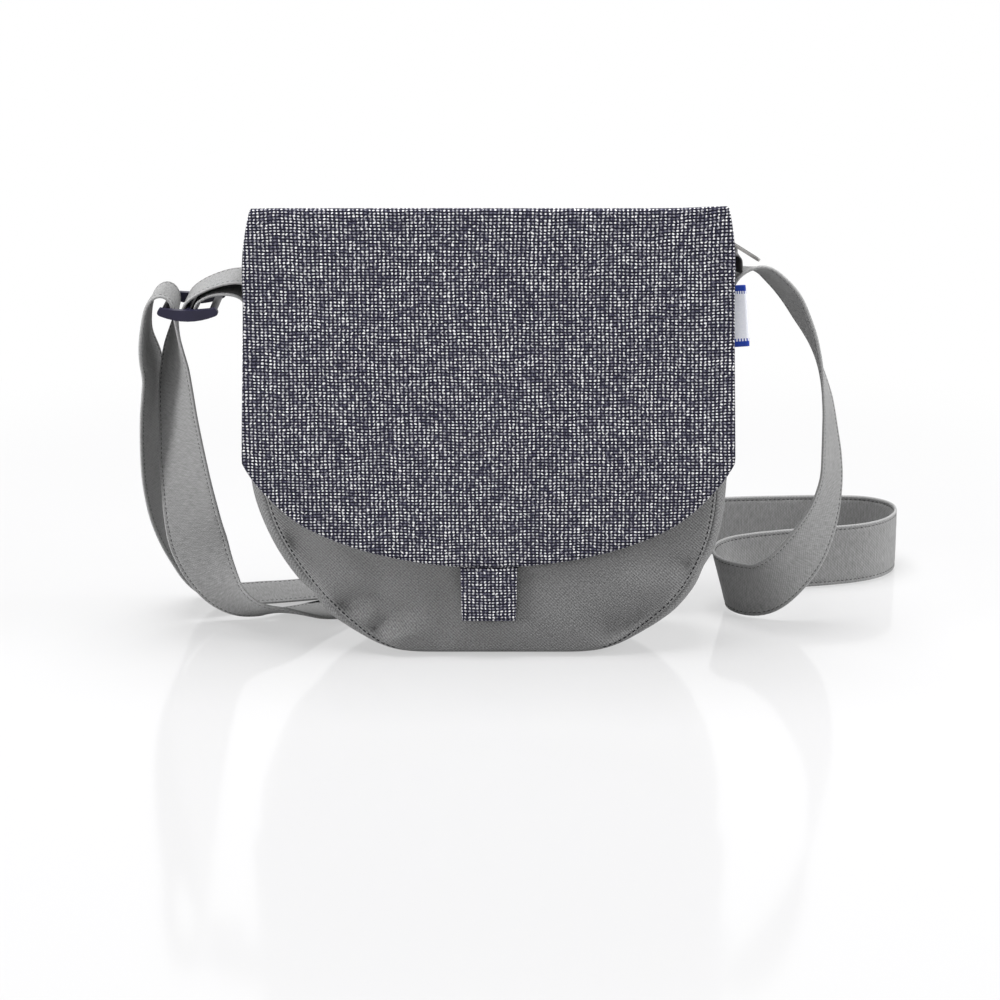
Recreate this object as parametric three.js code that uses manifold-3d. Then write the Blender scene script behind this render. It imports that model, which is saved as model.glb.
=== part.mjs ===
// Crossbody bag with a flap: millimetres, +X to the right seen from the front, -Y to the front, +Z up.
// The origin is on the floor, under the middle of the base.

import * as THREE from 'three';
import { mergeVertices } from 'three/addons/utils/BufferGeometryUtils.js';
import Module from 'manifold-3d';

const wasm = await Module();
wasm.setup();

// Body of the bag
const BODY_HALF_WIDTH = 125;
const CORNER_WIDTH = 80;
const CORNER_HEIGHT = 105;
const CORNER_SIDE_PULL = 50;
const CORNER_BASE_PULL = 53;
const BASE_DEPTH = 60;
const TOP_DEPTH = 32;
const PANEL_TOP_Z = 221;
const BACK_TOP_RISE = 2.8;
const GUSSET_TOP_DROP = 21;
const LINING_TOP_DROP = 8;

// Cloths and the clearance between pieces that touch
const PANEL_CLOTH = 1.6;
const LINING_CLOTH = 0.8;
const FLAP_CLOTH = 1;
const CLEARANCE = 0.3;

// Flap
const FLAP_RISE = 24;
const FLAP_OVERHANG = 5;
const FLAP_CREASE_INSET = 0.5;
const FLAP_SHOULDER_DROP = 40;
const FLAP_BOTTOM_Z = 52.5;
const FLAP_EDGE_SPREAD = 4;
const FLAP_EDGE_DEPTH = 70.7;
const FLAP_LINING_INSET = 3;
const FLAP_ARCH_RISE = 10;
const FLAP_ARCH_SLOPE = 0.26;
const FLAP_SEAM_HEIGHT = 28;
const FLAP_SEAM_CLOTH = 1.2;

// Pull tab and magnetic snap
const TAB_TOP_HALF_WIDTH = 15;
const TAB_BOTTOM_HALF_WIDTH = 14;
const TAB_LENGTH = 29.5;
const TAB_HINGE_GAP = 0.4;
const SNAP_RADIUS = 9;
const SNAP_SOCKET_HEIGHT = 2.2;
const SNAP_RECESS_RADIUS = 3;
const SNAP_RECESS_DEPTH = 1.5;
const SNAP_STUD_HEIGHT = 1.8;
const SNAP_PIN_RADIUS = 2.4;
const SNAP_PIN_LENGTH = 1.2;
const SNAP_DROP = 14.5;

// Zip
const ZIP_DROP = 3;
const ZIP_LEFT_ROOM = 8;
const ZIP_RIGHT_ROOM = 2.5;
const ZIP_TAPE_CLOTH = 0.8;
const ZIP_TAPE_OVERHANG = 7;
const ZIP_TAIL_BEND = 3;
const ZIP_TAIL_DROP = 10;
const ZIP_HALF_OPENING = 2.9;
const TOOTH_LENGTH = 2.2;
const TOOTH_WIDTH = 1.6;
const TOOTH_PITCH = 3;
const TOOTH_HEIGHT = 2.2;
const TOOTH_CORD = 1.2;
const STOP_LENGTH = 4;
const SLIDER_LENGTH = 11;
const SLIDER_PLATE = 1;
const SLIDER_FLARE = 0.8;
const SLIDER_LIP = 0.9;
const SLIDER_PARKED_PAST_ROWS = 0.5;
const BRIDGE_HEIGHT = 8;
const BRIDGE_WIRE = 1.4;
const PULLER_LENGTH = 20.5;
const PULLER_WIDTH = 4.8;
const PULLER_WIRE = 1.4;
const PULLER_RISE = 2.2;
const PULLER_SLOPE = THREE.MathUtils.degToRad(32);

// Strap, side tab and slide buckle
const STRAP_WIDTH = 36;
const STRAP_CLOTH = 1.8;
const SIDE_TAB_CLOTH = 1.6;
const SIDE_TAB_SEWN = 20;
const SIDE_TAB_UPPER_LIFT = 21.5;
const SIDE_TAB_LOWER_LIFT = 10.4;
const SIDE_TAB_LOWER_DROP = 9;
const BUCKLE_REACH = 33;
const BUCKLE_DROP = 11.5;
const BUCKLE_BAR_SPACING = 12.6;
const BUCKLE_BAR_RADIUS = 2;
const BUCKLE_RAIL = 3.6;
const BUCKLE_RAIL_HEIGHT = 5.5;
const BUCKLE_RAIL_SAG = 4.5;
const BUCKLE_SIDE_ROOM = 1;

// Label
const LABEL_LENGTH = 33;
const LABEL_REACH = 9.5;
const LABEL_CLOTH = 0.8;
const LABEL_DROP = 18.4;

// Facets
const CORNER_STEPS = 10;
const FLAP_COLUMNS = 26;
const FLAP_ARCH_ROWS = 7;
const FLAP_FRONT_ROWS = 8;
const ROUND_STEPS = 32;
const STRAP_STEPS_PER_POINT = 2;
const SIDE_TAB_STEPS = 8;
const RAIL_STEPS = 8;
const TAIL_STEPS = 4;

// Colours
const GREY_TWILL = 0x8a8a8a;
const DARK_GREY = 0x565658;
const NAVY_TWEED = 0x5c5c68;
const NICKEL = 0xc4c4c6;
const NAVY_PLASTIC = 0x2a283e;
const LABEL_WHITE = 0xe4e6f0;
const LINING_GREY = 0x6c6c70;

// Heights and widths that follow from the body
const baseHalfWidth = BODY_HALF_WIDTH - CORNER_WIDTH;
const backTopZ = PANEL_TOP_Z + BACK_TOP_RISE;
const gussetTopZ = PANEL_TOP_Z - GUSSET_TOP_DROP;
const liningTopZ = PANEL_TOP_Z - LINING_TOP_DROP;
const flapTopZ = PANEL_TOP_Z + FLAP_RISE;
const flapWideHalf = BODY_HALF_WIDTH + FLAP_OVERHANG;
const flapCreaseHalf = BODY_HALF_WIDTH - FLAP_CREASE_INSET;
const zipZ = PANEL_TOP_Z - ZIP_DROP;
const zipRight = BODY_HALF_WIDTH - ZIP_RIGHT_ROOM;
const toothCount = Math.floor((2 * BODY_HALF_WIDTH - ZIP_LEFT_ROOM - ZIP_RIGHT_ROOM) / TOOTH_PITCH);
const zipLeft = zipRight - toothCount * TOOTH_PITCH;
const sliderX = zipRight + SLIDER_PARKED_PAST_ROWS;
const snapZ = FLAP_BOTTOM_Z - SNAP_DROP;
const buckleX = -BODY_HALF_WIDTH - BUCKLE_REACH;
const buckleZ = gussetTopZ - BUCKLE_DROP;
const labelTopZ = PANEL_TOP_Z - LABEL_DROP;

// Planes of the front and back: inner faces of the two panels at a height
const panelLean = (BASE_DEPTH - TOP_DEPTH) / 2 / PANEL_TOP_Z;
const frontInside = (z) => -BASE_DEPTH / 2 + panelLean * z;
const backInside = (z) => -frontInside(z);
const frontOutside = (z) => frontInside(z) - PANEL_CLOTH;
const backOutside = (z) => backInside(z) + PANEL_CLOTH;

// The flap stands off the front panel by the height of the closed snap
const snapStack = SNAP_SOCKET_HEIGHT + SNAP_STUD_HEIGHT + 3 * CLEARANCE;
const flapStack = LINING_CLOTH + CLEARANCE + FLAP_CLOTH;
const flapOutside = (z) => frontOutside(z) - snapStack - flapStack;

const model = new THREE.Group();

function addPiece(name, geometry, color, roughness, metalness = 0) {
  const material = new THREE.MeshStandardMaterial({ color, roughness, metalness });
  const mesh = new THREE.Mesh(geometry, material);
  mesh.name = name;
  model.add(mesh);
  return mesh;
}

function moveVertices(geometry, move) {
  const position = geometry.attributes.position;
  for (let i = 0; i < position.count; i++) {
    position.setXYZ(i, ...move(position.getX(i), position.getY(i), position.getZ(i)));
  }
  geometry.computeVertexNormals();
  return geometry;
}

// An outline in X and Z, filled between two depths that change with the height
function slice(outline, nearY, farY) {
  const shape = new THREE.Shape(outline);
  const flat = new THREE.ExtrudeGeometry(shape, { depth: 1, steps: 1, bevelEnabled: false });
  return moveVertices(flat, (x, z, t) => [x, farY(z) + (nearY(z) - farY(z)) * t, z]);
}

function solidOf(geometry) {
  const bare = new THREE.BufferGeometry();
  bare.setAttribute('position', geometry.attributes.position.clone());
  if (geometry.index) {
    bare.setIndex(geometry.index.clone());
  }
  const merged = mergeVertices(bare, 1e-4);
  const mesh = new wasm.Mesh({
    numProp: 3,
    vertProperties: new Float32Array(merged.attributes.position.array),
    triVerts: new Uint32Array(merged.index.array),
  });
  return new wasm.Manifold(mesh);
}

function geometryOf(solid) {
  const mesh = solid.getMesh();
  const geometry = new THREE.BufferGeometry();
  geometry.setAttribute('position', new THREE.BufferAttribute(new Float32Array(mesh.vertProperties), 3));
  geometry.setIndex(new THREE.BufferAttribute(new Uint32Array(mesh.triVerts), 1));
  geometry.computeVertexNormals();
  return geometry;
}

const join = (...parts) => geometryOf(parts.map(solidOf).reduce((whole, part) => whole.add(part)));

function box(x0, x1, y0, y1, z0, z1) {
  const geometry = new THREE.BoxGeometry(x1 - x0, y1 - y0, z1 - z0);
  return geometry.translate((x0 + x1) / 2, (y0 + y1) / 2, (z0 + z1) / 2);
}

// Joins two equal rings of a swept section
function bridgeRings(index, a, b, count) {
  for (let i = 0; i < count; i++) {
    const j = (i + 1) % count;
    index.push(a + i, b + j, b + i, a + i, a + j, b + j);
  }
}

const depthwise = new THREE.Vector3(0, -1, 0);
const stopAt = (x, y, z, across = depthwise) => ({ at: new THREE.Vector3(x, y, z), across });

// A flat strip swept along a route: each stop has a place and a direction across the strip
function ribbon(stops, width, thickness, steps) {
  const places = new THREE.CatmullRomCurve3(stops.map((s) => s.at), false, 'centripetal');
  const last = stops.length - 1;
  const rings = last * steps;
  const positions = [];
  const index = [];
  for (let i = 0; i <= rings; i++) {
    const t = i / rings;
    const stop = Math.min(Math.floor(t * last), last - 1);
    const along = places.getTangent(t);
    const across = stops[stop].across.clone().lerp(stops[stop + 1].across, t * last - stop);
    across.addScaledVector(along, -across.dot(along)).setLength(width / 2);
    const out = along.clone().cross(across).setLength(thickness / 2);
    const middle = places.getPoint(t);
    for (const [side, face] of [[1, 1], [-1, 1], [-1, -1], [1, -1]]) {
      const corner = middle.clone().addScaledVector(across, side).addScaledVector(out, face);
      positions.push(corner.x, corner.y, corner.z);
    }
    if (i > 0) {
      bridgeRings(index, 4 * (i - 1), 4 * i, 4);
    }
  }
  const end = 4 * rings;
  index.push(0, 2, 1, 0, 3, 2, end, end + 1, end + 2, end, end + 2, end + 3);
  const geometry = new THREE.BufferGeometry();
  geometry.setAttribute('position', new THREE.Float32BufferAttribute(positions, 3));
  geometry.setIndex(index);
  geometry.computeVertexNormals();
  return geometry;
}

// Front outline of the body: straight sides, round lower corners and a flat base
function bodyOutline(inset, topZ) {
  const corner = new THREE.CubicBezierCurve(
    new THREE.Vector2(BODY_HALF_WIDTH, CORNER_HEIGHT),
    new THREE.Vector2(BODY_HALF_WIDTH, CORNER_HEIGHT - CORNER_SIDE_PULL),
    new THREE.Vector2(baseHalfWidth + CORNER_BASE_PULL, 0),
    new THREE.Vector2(baseHalfWidth, 0),
  );
  const right = [new THREE.Vector2(BODY_HALF_WIDTH - inset, topZ)];
  for (let i = 0; i <= CORNER_STEPS; i++) {
    const point = corner.getPoint(i / CORNER_STEPS);
    const tangent = corner.getTangent(i / CORNER_STEPS);
    right.push(new THREE.Vector2(point.x + inset * tangent.y, point.y - inset * tangent.x));
  }
  const left = right.map((p) => new THREE.Vector2(-p.x, p.y)).reverse();
  return [...right, ...left];
}

function addBody() {
  addPiece('front_panel', slice(bodyOutline(0, PANEL_TOP_Z), frontOutside, frontInside), GREY_TWILL, 0.9);
  addPiece('back_panel', slice(bodyOutline(0, backTopZ), backInside, backOutside), GREY_TWILL, 0.9);
  const strip = [...bodyOutline(0, gussetTopZ), ...bodyOutline(PANEL_CLOTH, gussetTopZ).reverse()];
  const nearEdge = (z) => frontInside(z) + CLEARANCE;
  const farEdge = (z) => backInside(z) - CLEARANCE;
  addPiece('gusset', slice(strip, nearEdge, farEdge), GREY_TWILL, 0.9);
}

// The lining is a pouch inside the panels and the gusset, open at the top
function addLining() {
  const outerInset = PANEL_CLOTH + CLEARANCE;
  const gapAt = (extra) => (z) => frontInside(z) + CLEARANCE + extra;
  const pouch = (extra, topZ) => {
    const near = gapAt(extra);
    return solidOf(slice(bodyOutline(outerInset + extra, topZ), near, (z) => -near(z)));
  };
  const hollow = pouch(LINING_CLOTH, liningTopZ + LINING_CLOTH);
  const lining = pouch(0, liningTopZ).subtract(hollow);
  addPiece('lining', geometryOf(lining), LINING_GREY, 0.95);
}

// One zip tape and its row of teeth; side is -1 at the front and 1 at the back
function addZipSide(name, side) {
  const cordY = ZIP_HALF_OPENING + TOOTH_LENGTH;
  const tapeInner = cordY + TOOTH_CORD + CLEARANCE;
  const tapeOuter = backInside(zipZ) - CLEARANCE;
  const tapeY = (side * (tapeInner + tapeOuter)) / 2;
  const bendX = zipRight + ZIP_TAPE_OVERHANG;
  const bend = new THREE.EllipseCurve(
    bendX, zipZ - ZIP_TAIL_BEND, ZIP_TAIL_BEND, ZIP_TAIL_BEND, Math.PI / 2, 0, true);
  const route = [
    new THREE.Vector2(zipLeft - ZIP_TAPE_OVERHANG, zipZ),
    new THREE.Vector2(bendX - ZIP_TAPE_OVERHANG, zipZ),
    ...bend.getPoints(TAIL_STEPS),
    new THREE.Vector2(bendX + ZIP_TAIL_BEND, zipZ - ZIP_TAIL_DROP),
  ];
  const stops = route.map((point) => stopAt(point.x, tapeY, point.y));
  const tape = ribbon(stops, tapeOuter - tapeInner, ZIP_TAPE_CLOTH, 1);
  addPiece(`zip_tape_${name}`, tape, DARK_GREY, 0.95);

  const corner = (x, y) => new THREE.Vector2(x, side * y);
  const comb = [corner(zipLeft, cordY + TOOTH_CORD), corner(zipLeft, cordY)];
  for (let i = 0; i < toothCount; i++) {
    const left = zipLeft + i * TOOTH_PITCH + (TOOTH_PITCH - TOOTH_WIDTH) / 2;
    const right = left + TOOTH_WIDTH;
    comb.push(corner(left, cordY), corner(left, ZIP_HALF_OPENING));
    comb.push(corner(right, ZIP_HALF_OPENING), corner(right, cordY));
  }
  comb.push(corner(zipRight, cordY), corner(zipRight, cordY + TOOTH_CORD));
  const outline = new THREE.Shape(comb);
  const row = new THREE.ExtrudeGeometry(outline, { depth: TOOTH_HEIGHT, bevelEnabled: false });
  row.translate(0, 0, zipZ - TOOTH_HEIGHT / 2);
  addPiece(`zip_teeth_${name}`, row, NICKEL, 0.35, 1);
}

// A folded metal stop closes the left end of the two rows
function addZipStop() {
  const x1 = zipLeft - CLEARANCE;
  const halfY = ZIP_HALF_OPENING + TOOTH_LENGTH + TOOTH_CORD;
  const halfZ = TOOTH_HEIGHT / 2;
  const stop = box(x1 - STOP_LENGTH, x1, -halfY, halfY, zipZ - halfZ, zipZ + halfZ);
  addPiece('zip_stop', stop, NICKEL, 0.35, 1);
}

const sliderPlateZ = TOOTH_HEIGHT / 2 + CLEARANCE;
const sliderTopZ = zipZ + sliderPlateZ + SLIDER_PLATE;
const bridgeHalf = SLIDER_LENGTH / 2 + BRIDGE_WIRE;
const bridgeInnerHalf = bridgeHalf - BRIDGE_WIRE;
const bridgeInnerHeight = BRIDGE_HEIGHT - BRIDGE_WIRE;
const pullerRoom = bridgeInnerHalf * Math.sqrt(1 - (PULLER_RISE / bridgeInnerHeight) ** 2);
const pullerPivot = new THREE.Vector3(
  sliderX + pullerRoom - PULLER_WIRE / 2 - 2 * CLEARANCE,
  0,
  sliderTopZ + PULLER_RISE,
);

// Two plates joined by a post between the rows, lips that hold the rows in, and a bridge on top
function addZipSlider() {
  const x0 = sliderX - SLIDER_LENGTH / 2;
  const x1 = sliderX + SLIDER_LENGTH / 2;
  const rowOuter = ZIP_HALF_OPENING + TOOTH_LENGTH + TOOTH_CORD;
  const lipInner = rowOuter + CLEARANCE;
  const narrowHalf = lipInner + SLIDER_LIP;
  const wideHalf = narrowHalf + SLIDER_FLARE;
  const plateOutline = new THREE.Shape([
    new THREE.Vector2(x0, -narrowHalf),
    new THREE.Vector2(x1, -wideHalf),
    new THREE.Vector2(x1, wideHalf),
    new THREE.Vector2(x0, narrowHalf),
  ]);
  const plate = () => new THREE.ExtrudeGeometry(plateOutline, { depth: SLIDER_PLATE, bevelEnabled: false });
  const upper = plate().translate(0, 0, zipZ + sliderPlateZ);
  const lower = plate().translate(0, 0, zipZ - sliderPlateZ - SLIDER_PLATE);
  const postHalf = ZIP_HALF_OPENING - 2 * CLEARANCE;
  const postReach = sliderPlateZ + SLIDER_PLATE / 2;
  const middle = sliderX;
  const post = box(middle, x1 - SLIDER_PLATE, -postHalf, postHalf, zipZ - postReach, zipZ + postReach);

  const arc = (half, height) => {
    const curve = new THREE.EllipseCurve(0, 0, half, height, 0, Math.PI);
    return curve.getPoints(ROUND_STEPS / 2);
  };
  const sunk = (points) => [
    ...points,
    new THREE.Vector2(points.at(-1).x, -SLIDER_PLATE / 2),
    new THREE.Vector2(points[0].x, -SLIDER_PLATE / 2),
  ];
  const bridgeOutside = new THREE.Shape(sunk(arc(bridgeHalf, BRIDGE_HEIGHT)));
  bridgeOutside.holes.push(new THREE.Path(arc(bridgeInnerHalf, bridgeInnerHeight)));
  const bridge = new THREE.ExtrudeGeometry(bridgeOutside, { depth: BRIDGE_WIRE, bevelEnabled: false });
  bridge.rotateX(Math.PI / 2).translate(sliderX, BRIDGE_WIRE / 2, sliderTopZ);

  const lips = [];
  const lipNear = ZIP_TAPE_CLOTH / 2 + CLEARANCE;
  const lipFar = sliderPlateZ + SLIDER_PLATE / 2;
  for (const y0 of [-narrowHalf, lipInner]) {
    for (const z0 of [-lipFar, lipNear]) {
      lips.push(box(x0, middle, y0, y0 + SLIDER_LIP, zipZ + z0, zipZ + z0 + lipFar - lipNear));
    }
  }
  addPiece('zip_slider', join(upper, lower, post, bridge, ...lips), NICKEL, 0.3, 1);
}

// A long wire loop that hangs on the bridge and lies over the strap's end
function addZipPuller() {
  const half = PULLER_WIDTH / 2;
  const outline = (inset) => {
    const path = new THREE.Path();
    const radius = half - inset;
    path.absarc(PULLER_LENGTH - half - PULLER_WIRE / 2, 0, radius, -Math.PI / 2, Math.PI / 2);
    path.lineTo(inset - PULLER_WIRE / 2, radius);
    path.lineTo(inset - PULLER_WIRE / 2, -radius);
    return path.getPoints(ROUND_STEPS / 4);
  };
  const shape = new THREE.Shape(outline(0));
  shape.holes.push(new THREE.Path(outline(PULLER_WIRE)));
  const loop = new THREE.ExtrudeGeometry(shape, { depth: PULLER_WIRE, bevelEnabled: false });
  loop.translate(0, 0, -PULLER_WIRE / 2);
  const puller = addPiece('zip_puller', loop, NICKEL, 0.25, 1);
  puller.position.copy(pullerPivot);
  puller.rotation.y = PULLER_SLOPE;
}

const flapStart = new THREE.Vector2(
  backOutside(PANEL_TOP_Z) + CLEARANCE + FLAP_SEAM_CLOTH,
  backTopZ + flapStack + CLEARANCE,
);

// The flap's outer profile from the back seam over the top to the front crease
function flapArch() {
  const crease = new THREE.Vector2(flapOutside(flapTopZ), flapTopZ);
  const span = flapStart.x - crease.x;
  return new THREE.CubicBezierCurve(
    flapStart,
    new THREE.Vector2(flapStart.x, flapStart.y + FLAP_ARCH_RISE),
    new THREE.Vector2(crease.x + span / 2, crease.y - (FLAP_ARCH_SLOPE * span) / 2),
    crease,
  );
}

function flapHalfWidth(z, inset) {
  const drop = THREE.MathUtils.clamp((flapTopZ - z) / FLAP_SHOULDER_DROP, 0, 1);
  const eased = drop * (2 - drop);
  return flapCreaseHalf + (flapWideHalf - flapCreaseHalf) * eased - inset;
}

function flapEdgeZ(x) {
  const halfAxis = flapWideHalf + FLAP_EDGE_SPREAD;
  return FLAP_BOTTOM_Z + FLAP_EDGE_DEPTH * (1 - Math.sqrt(1 - (x / halfAxis) ** 2));
}

// A layer of the flap: depth is measured inward from the outer face
function flapLayer(depth, cloth, inset) {
  const arch = flapArch();
  const frontNormal = new THREE.Vector2(-1, panelLean).normalize();
  const columns = FLAP_COLUMNS;
  const rows = FLAP_ARCH_ROWS + FLAP_FRONT_ROWS;
  const layers = [[], []];
  for (let row = 0; row <= rows; row++) {
    const onArch = row <= FLAP_ARCH_ROWS;
    const t = onArch ? row / FLAP_ARCH_ROWS : (row - FLAP_ARCH_ROWS) / FLAP_FRONT_ROWS;
    for (let column = 0; column <= columns; column++) {
      const share = Math.sin((column / columns - 0.5) * Math.PI);
      const edgeZ = flapEdgeZ(share * flapWideHalf) + inset;
      const z = onArch ? arch.getPoint(t).y : THREE.MathUtils.lerp(flapTopZ, edgeZ, t);
      const y = onArch ? arch.getPoint(t).x : flapOutside(z);
      const normal = frontNormal.clone();
      if (onArch) {
        const tangent = arch.getTangent(t);
        normal.set(-tangent.y, tangent.x).multiplyScalar(-1);
      }
      if (row === FLAP_ARCH_ROWS) {
        normal.add(frontNormal).normalize();
      }
      const x = share * flapHalfWidth(Math.min(z, flapTopZ), inset);
      layers[0].push([x, y - depth * normal.x, z - depth * normal.y]);
      layers[1].push([x, y - (depth + cloth) * normal.x, z - (depth + cloth) * normal.y]);
    }
  }
  return sheetBetween(layers[0], layers[1], columns, rows);
}

// A closed sheet between an outer and an inner grid of points
function sheetBetween(outer, inner, columns, rows) {
  const index = [];
  const total = outer.length;
  const at = (row, column) => row * (columns + 1) + column;
  const quad = (a, b, c, d) => index.push(a, b, c, a, c, d);
  for (let row = 0; row < rows; row++) {
    for (let column = 0; column < columns; column++) {
      const corners = [at(row, column), at(row + 1, column), at(row + 1, column + 1), at(row, column + 1)];
      quad(...corners);
      quad(...corners.map((corner) => corner + total).reverse());
    }
    quad(at(row, 0), at(row, 0) + total, at(row + 1, 0) + total, at(row + 1, 0));
    quad(at(row + 1, columns), at(row + 1, columns) + total, at(row, columns) + total, at(row, columns));
  }
  for (let column = 0; column < columns; column++) {
    quad(at(0, column + 1), at(0, column + 1) + total, at(0, column) + total, at(0, column));
    quad(at(rows, column), at(rows, column) + total, at(rows, column + 1) + total, at(rows, column + 1));
  }
  const geometry = new THREE.BufferGeometry();
  geometry.setAttribute('position', new THREE.Float32BufferAttribute([...outer, ...inner].flat(), 3));
  geometry.setIndex(index);
  geometry.computeVertexNormals();
  return geometry;
}

function addFlap() {
  addPiece('flap_shell', flapLayer(0, FLAP_CLOTH, 0), NAVY_TWEED, 0.95);
  const liningDepth = FLAP_CLOTH + CLEARANCE;
  addPiece('flap_lining', flapLayer(liningDepth, LINING_CLOTH, FLAP_LINING_INSET), LINING_GREY, 0.95);

  const seamHalf = flapCreaseHalf;
  const seamOutline = [
    new THREE.Vector2(-seamHalf, backTopZ - FLAP_SEAM_HEIGHT),
    new THREE.Vector2(seamHalf, backTopZ - FLAP_SEAM_HEIGHT),
    new THREE.Vector2(seamHalf, backTopZ),
    new THREE.Vector2(-seamHalf, backTopZ),
  ];
  const near = (z) => backOutside(z) + CLEARANCE;
  const far = (z) => near(z) + FLAP_SEAM_CLOTH;
  addPiece('flap_seam', slice(seamOutline, near, far), NAVY_TWEED, 0.95);
}

function addPullTab() {
  const top = FLAP_BOTTOM_Z - TAB_HINGE_GAP;
  const bottom = top - TAB_LENGTH;
  const outline = [
    new THREE.Vector2(-TAB_BOTTOM_HALF_WIDTH, bottom),
    new THREE.Vector2(TAB_BOTTOM_HALF_WIDTH, bottom),
    new THREE.Vector2(TAB_TOP_HALF_WIDTH, top),
    new THREE.Vector2(-TAB_TOP_HALF_WIDTH, top),
  ];
  const behind = (depth) => (z) => flapOutside(z) + depth;
  const backingDepth = FLAP_CLOTH + CLEARANCE;
  addPiece('pull_tab', slice(outline, behind(0), behind(FLAP_CLOTH)), NAVY_TWEED, 0.95);
  const backing = slice(outline, behind(backingDepth), behind(flapStack));
  addPiece('pull_tab_backing', backing, LINING_GREY, 0.95);
}

// The two halves of the snap: the stud rides on the pull tab, the socket on the front panel
function addSnap() {
  const lathe = (profile) => new THREE.LatheGeometry(
    profile.map(([radius, height]) => new THREE.Vector2(radius, height)), ROUND_STEPS);
  const lean = Math.atan(panelLean);
  const recessFloor = SNAP_RECESS_DEPTH - SNAP_SOCKET_HEIGHT;
  const socket = addPiece('snap_socket', lathe([
    [0, recessFloor],
    [SNAP_RECESS_RADIUS, recessFloor],
    [SNAP_RECESS_RADIUS, -SNAP_SOCKET_HEIGHT],
    [SNAP_RADIUS, -SNAP_SOCKET_HEIGHT],
    [SNAP_RADIUS, 0],
    [0, 0],
  ]), NICKEL, 0.3, 1);
  socket.position.set(0, frontOutside(snapZ) - CLEARANCE, snapZ);
  socket.rotation.x = -lean;

  const stud = addPiece('snap_stud', lathe([
    [0, 0],
    [SNAP_RADIUS, 0],
    [SNAP_RADIUS, SNAP_STUD_HEIGHT],
    [SNAP_PIN_RADIUS, SNAP_STUD_HEIGHT],
    [SNAP_PIN_RADIUS, SNAP_STUD_HEIGHT + SNAP_PIN_LENGTH],
    [0, SNAP_STUD_HEIGHT + SNAP_PIN_LENGTH],
  ]), NICKEL, 0.3, 1);
  stud.position.set(0, flapOutside(snapZ) + flapStack + CLEARANCE, snapZ);
  stud.rotation.x = -lean;
}

// The tab runs up from the left gusset, over to the buckle, round its middle bar and back below
function addSideTab() {
  const wrap = BUCKLE_BAR_RADIUS + CLEARANCE + SIDE_TAB_CLOTH / 2;
  const inner = -BODY_HALF_WIDTH - CLEARANCE - SIDE_TAB_CLOTH / 2;
  const outer = inner - CLEARANCE - SIDE_TAB_CLOTH;
  const rootZ = gussetTopZ - SIDE_TAB_SEWN;
  const lowerEndZ = gussetTopZ - SIDE_TAB_LOWER_DROP;
  const upper = new THREE.CubicBezierCurve(
    new THREE.Vector2(inner, gussetTopZ),
    new THREE.Vector2(inner, gussetTopZ + SIDE_TAB_UPPER_LIFT),
    new THREE.Vector2(buckleX - wrap, buckleZ + SIDE_TAB_UPPER_LIFT),
    new THREE.Vector2(buckleX - wrap, buckleZ),
  );
  const turn = new THREE.EllipseCurve(buckleX, buckleZ, wrap, wrap, Math.PI, 2 * Math.PI);
  const lower = new THREE.CubicBezierCurve(
    new THREE.Vector2(buckleX + wrap, buckleZ),
    new THREE.Vector2(buckleX + wrap, buckleZ + SIDE_TAB_LOWER_LIFT),
    new THREE.Vector2(outer, lowerEndZ + SIDE_TAB_LOWER_LIFT),
    new THREE.Vector2(outer, lowerEndZ),
  );
  const route = [
    new THREE.Vector2(inner, rootZ),
    ...upper.getPoints(SIDE_TAB_STEPS),
    ...turn.getPoints(SIDE_TAB_STEPS).slice(1),
    ...lower.getPoints(SIDE_TAB_STEPS).slice(1),
    new THREE.Vector2(outer, rootZ),
  ];
  const stops = route.map((point) => stopAt(point.x, 0, point.y));
  addPiece('side_tab', ribbon(stops, STRAP_WIDTH, SIDE_TAB_CLOTH, 1), GREY_TWILL, 0.9);
}

// Two curved rails carry three bars; the strap and the side tab pass through the slots between them
function addSlideBuckle() {
  const innerHalf = STRAP_WIDTH / 2 + BUCKLE_SIDE_ROOM;
  const outerHalf = innerHalf + BUCKLE_RAIL;
  const railHalf = BUCKLE_BAR_SPACING + BUCKLE_BAR_RADIUS;
  const top = BUCKLE_RAIL_HEIGHT / 2;
  const rail = new THREE.Shape();
  rail.moveTo(-railHalf, top);
  rail.quadraticCurveTo(-railHalf - top, 0, -railHalf, -top / 2);
  rail.quadraticCurveTo(0, -top - BUCKLE_RAIL_SAG, railHalf, -top / 2);
  rail.quadraticCurveTo(railHalf + top, 0, railHalf, top);
  rail.quadraticCurveTo(0, top - BUCKLE_RAIL_SAG / 2, -railHalf, top);
  const pieces = [];
  for (const y of [-innerHalf, outerHalf]) {
    const options = { depth: BUCKLE_RAIL, curveSegments: RAIL_STEPS, bevelEnabled: false };
    const side = new THREE.ExtrudeGeometry(rail, options);
    pieces.push(side.rotateX(Math.PI / 2).translate(buckleX, y, buckleZ));
  }
  for (const place of [-1, 0, 1]) {
    const length = 2 * innerHalf + BUCKLE_RAIL;
    const bar = new THREE.CylinderGeometry(BUCKLE_BAR_RADIUS, BUCKLE_BAR_RADIUS, length, ROUND_STEPS / 2);
    pieces.push(bar.translate(buckleX + place * BUCKLE_BAR_SPACING, 0, buckleZ));
  }
  addPiece('slide_buckle', join(...pieces), NAVY_PLASTIC, 0.45);
}

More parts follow.
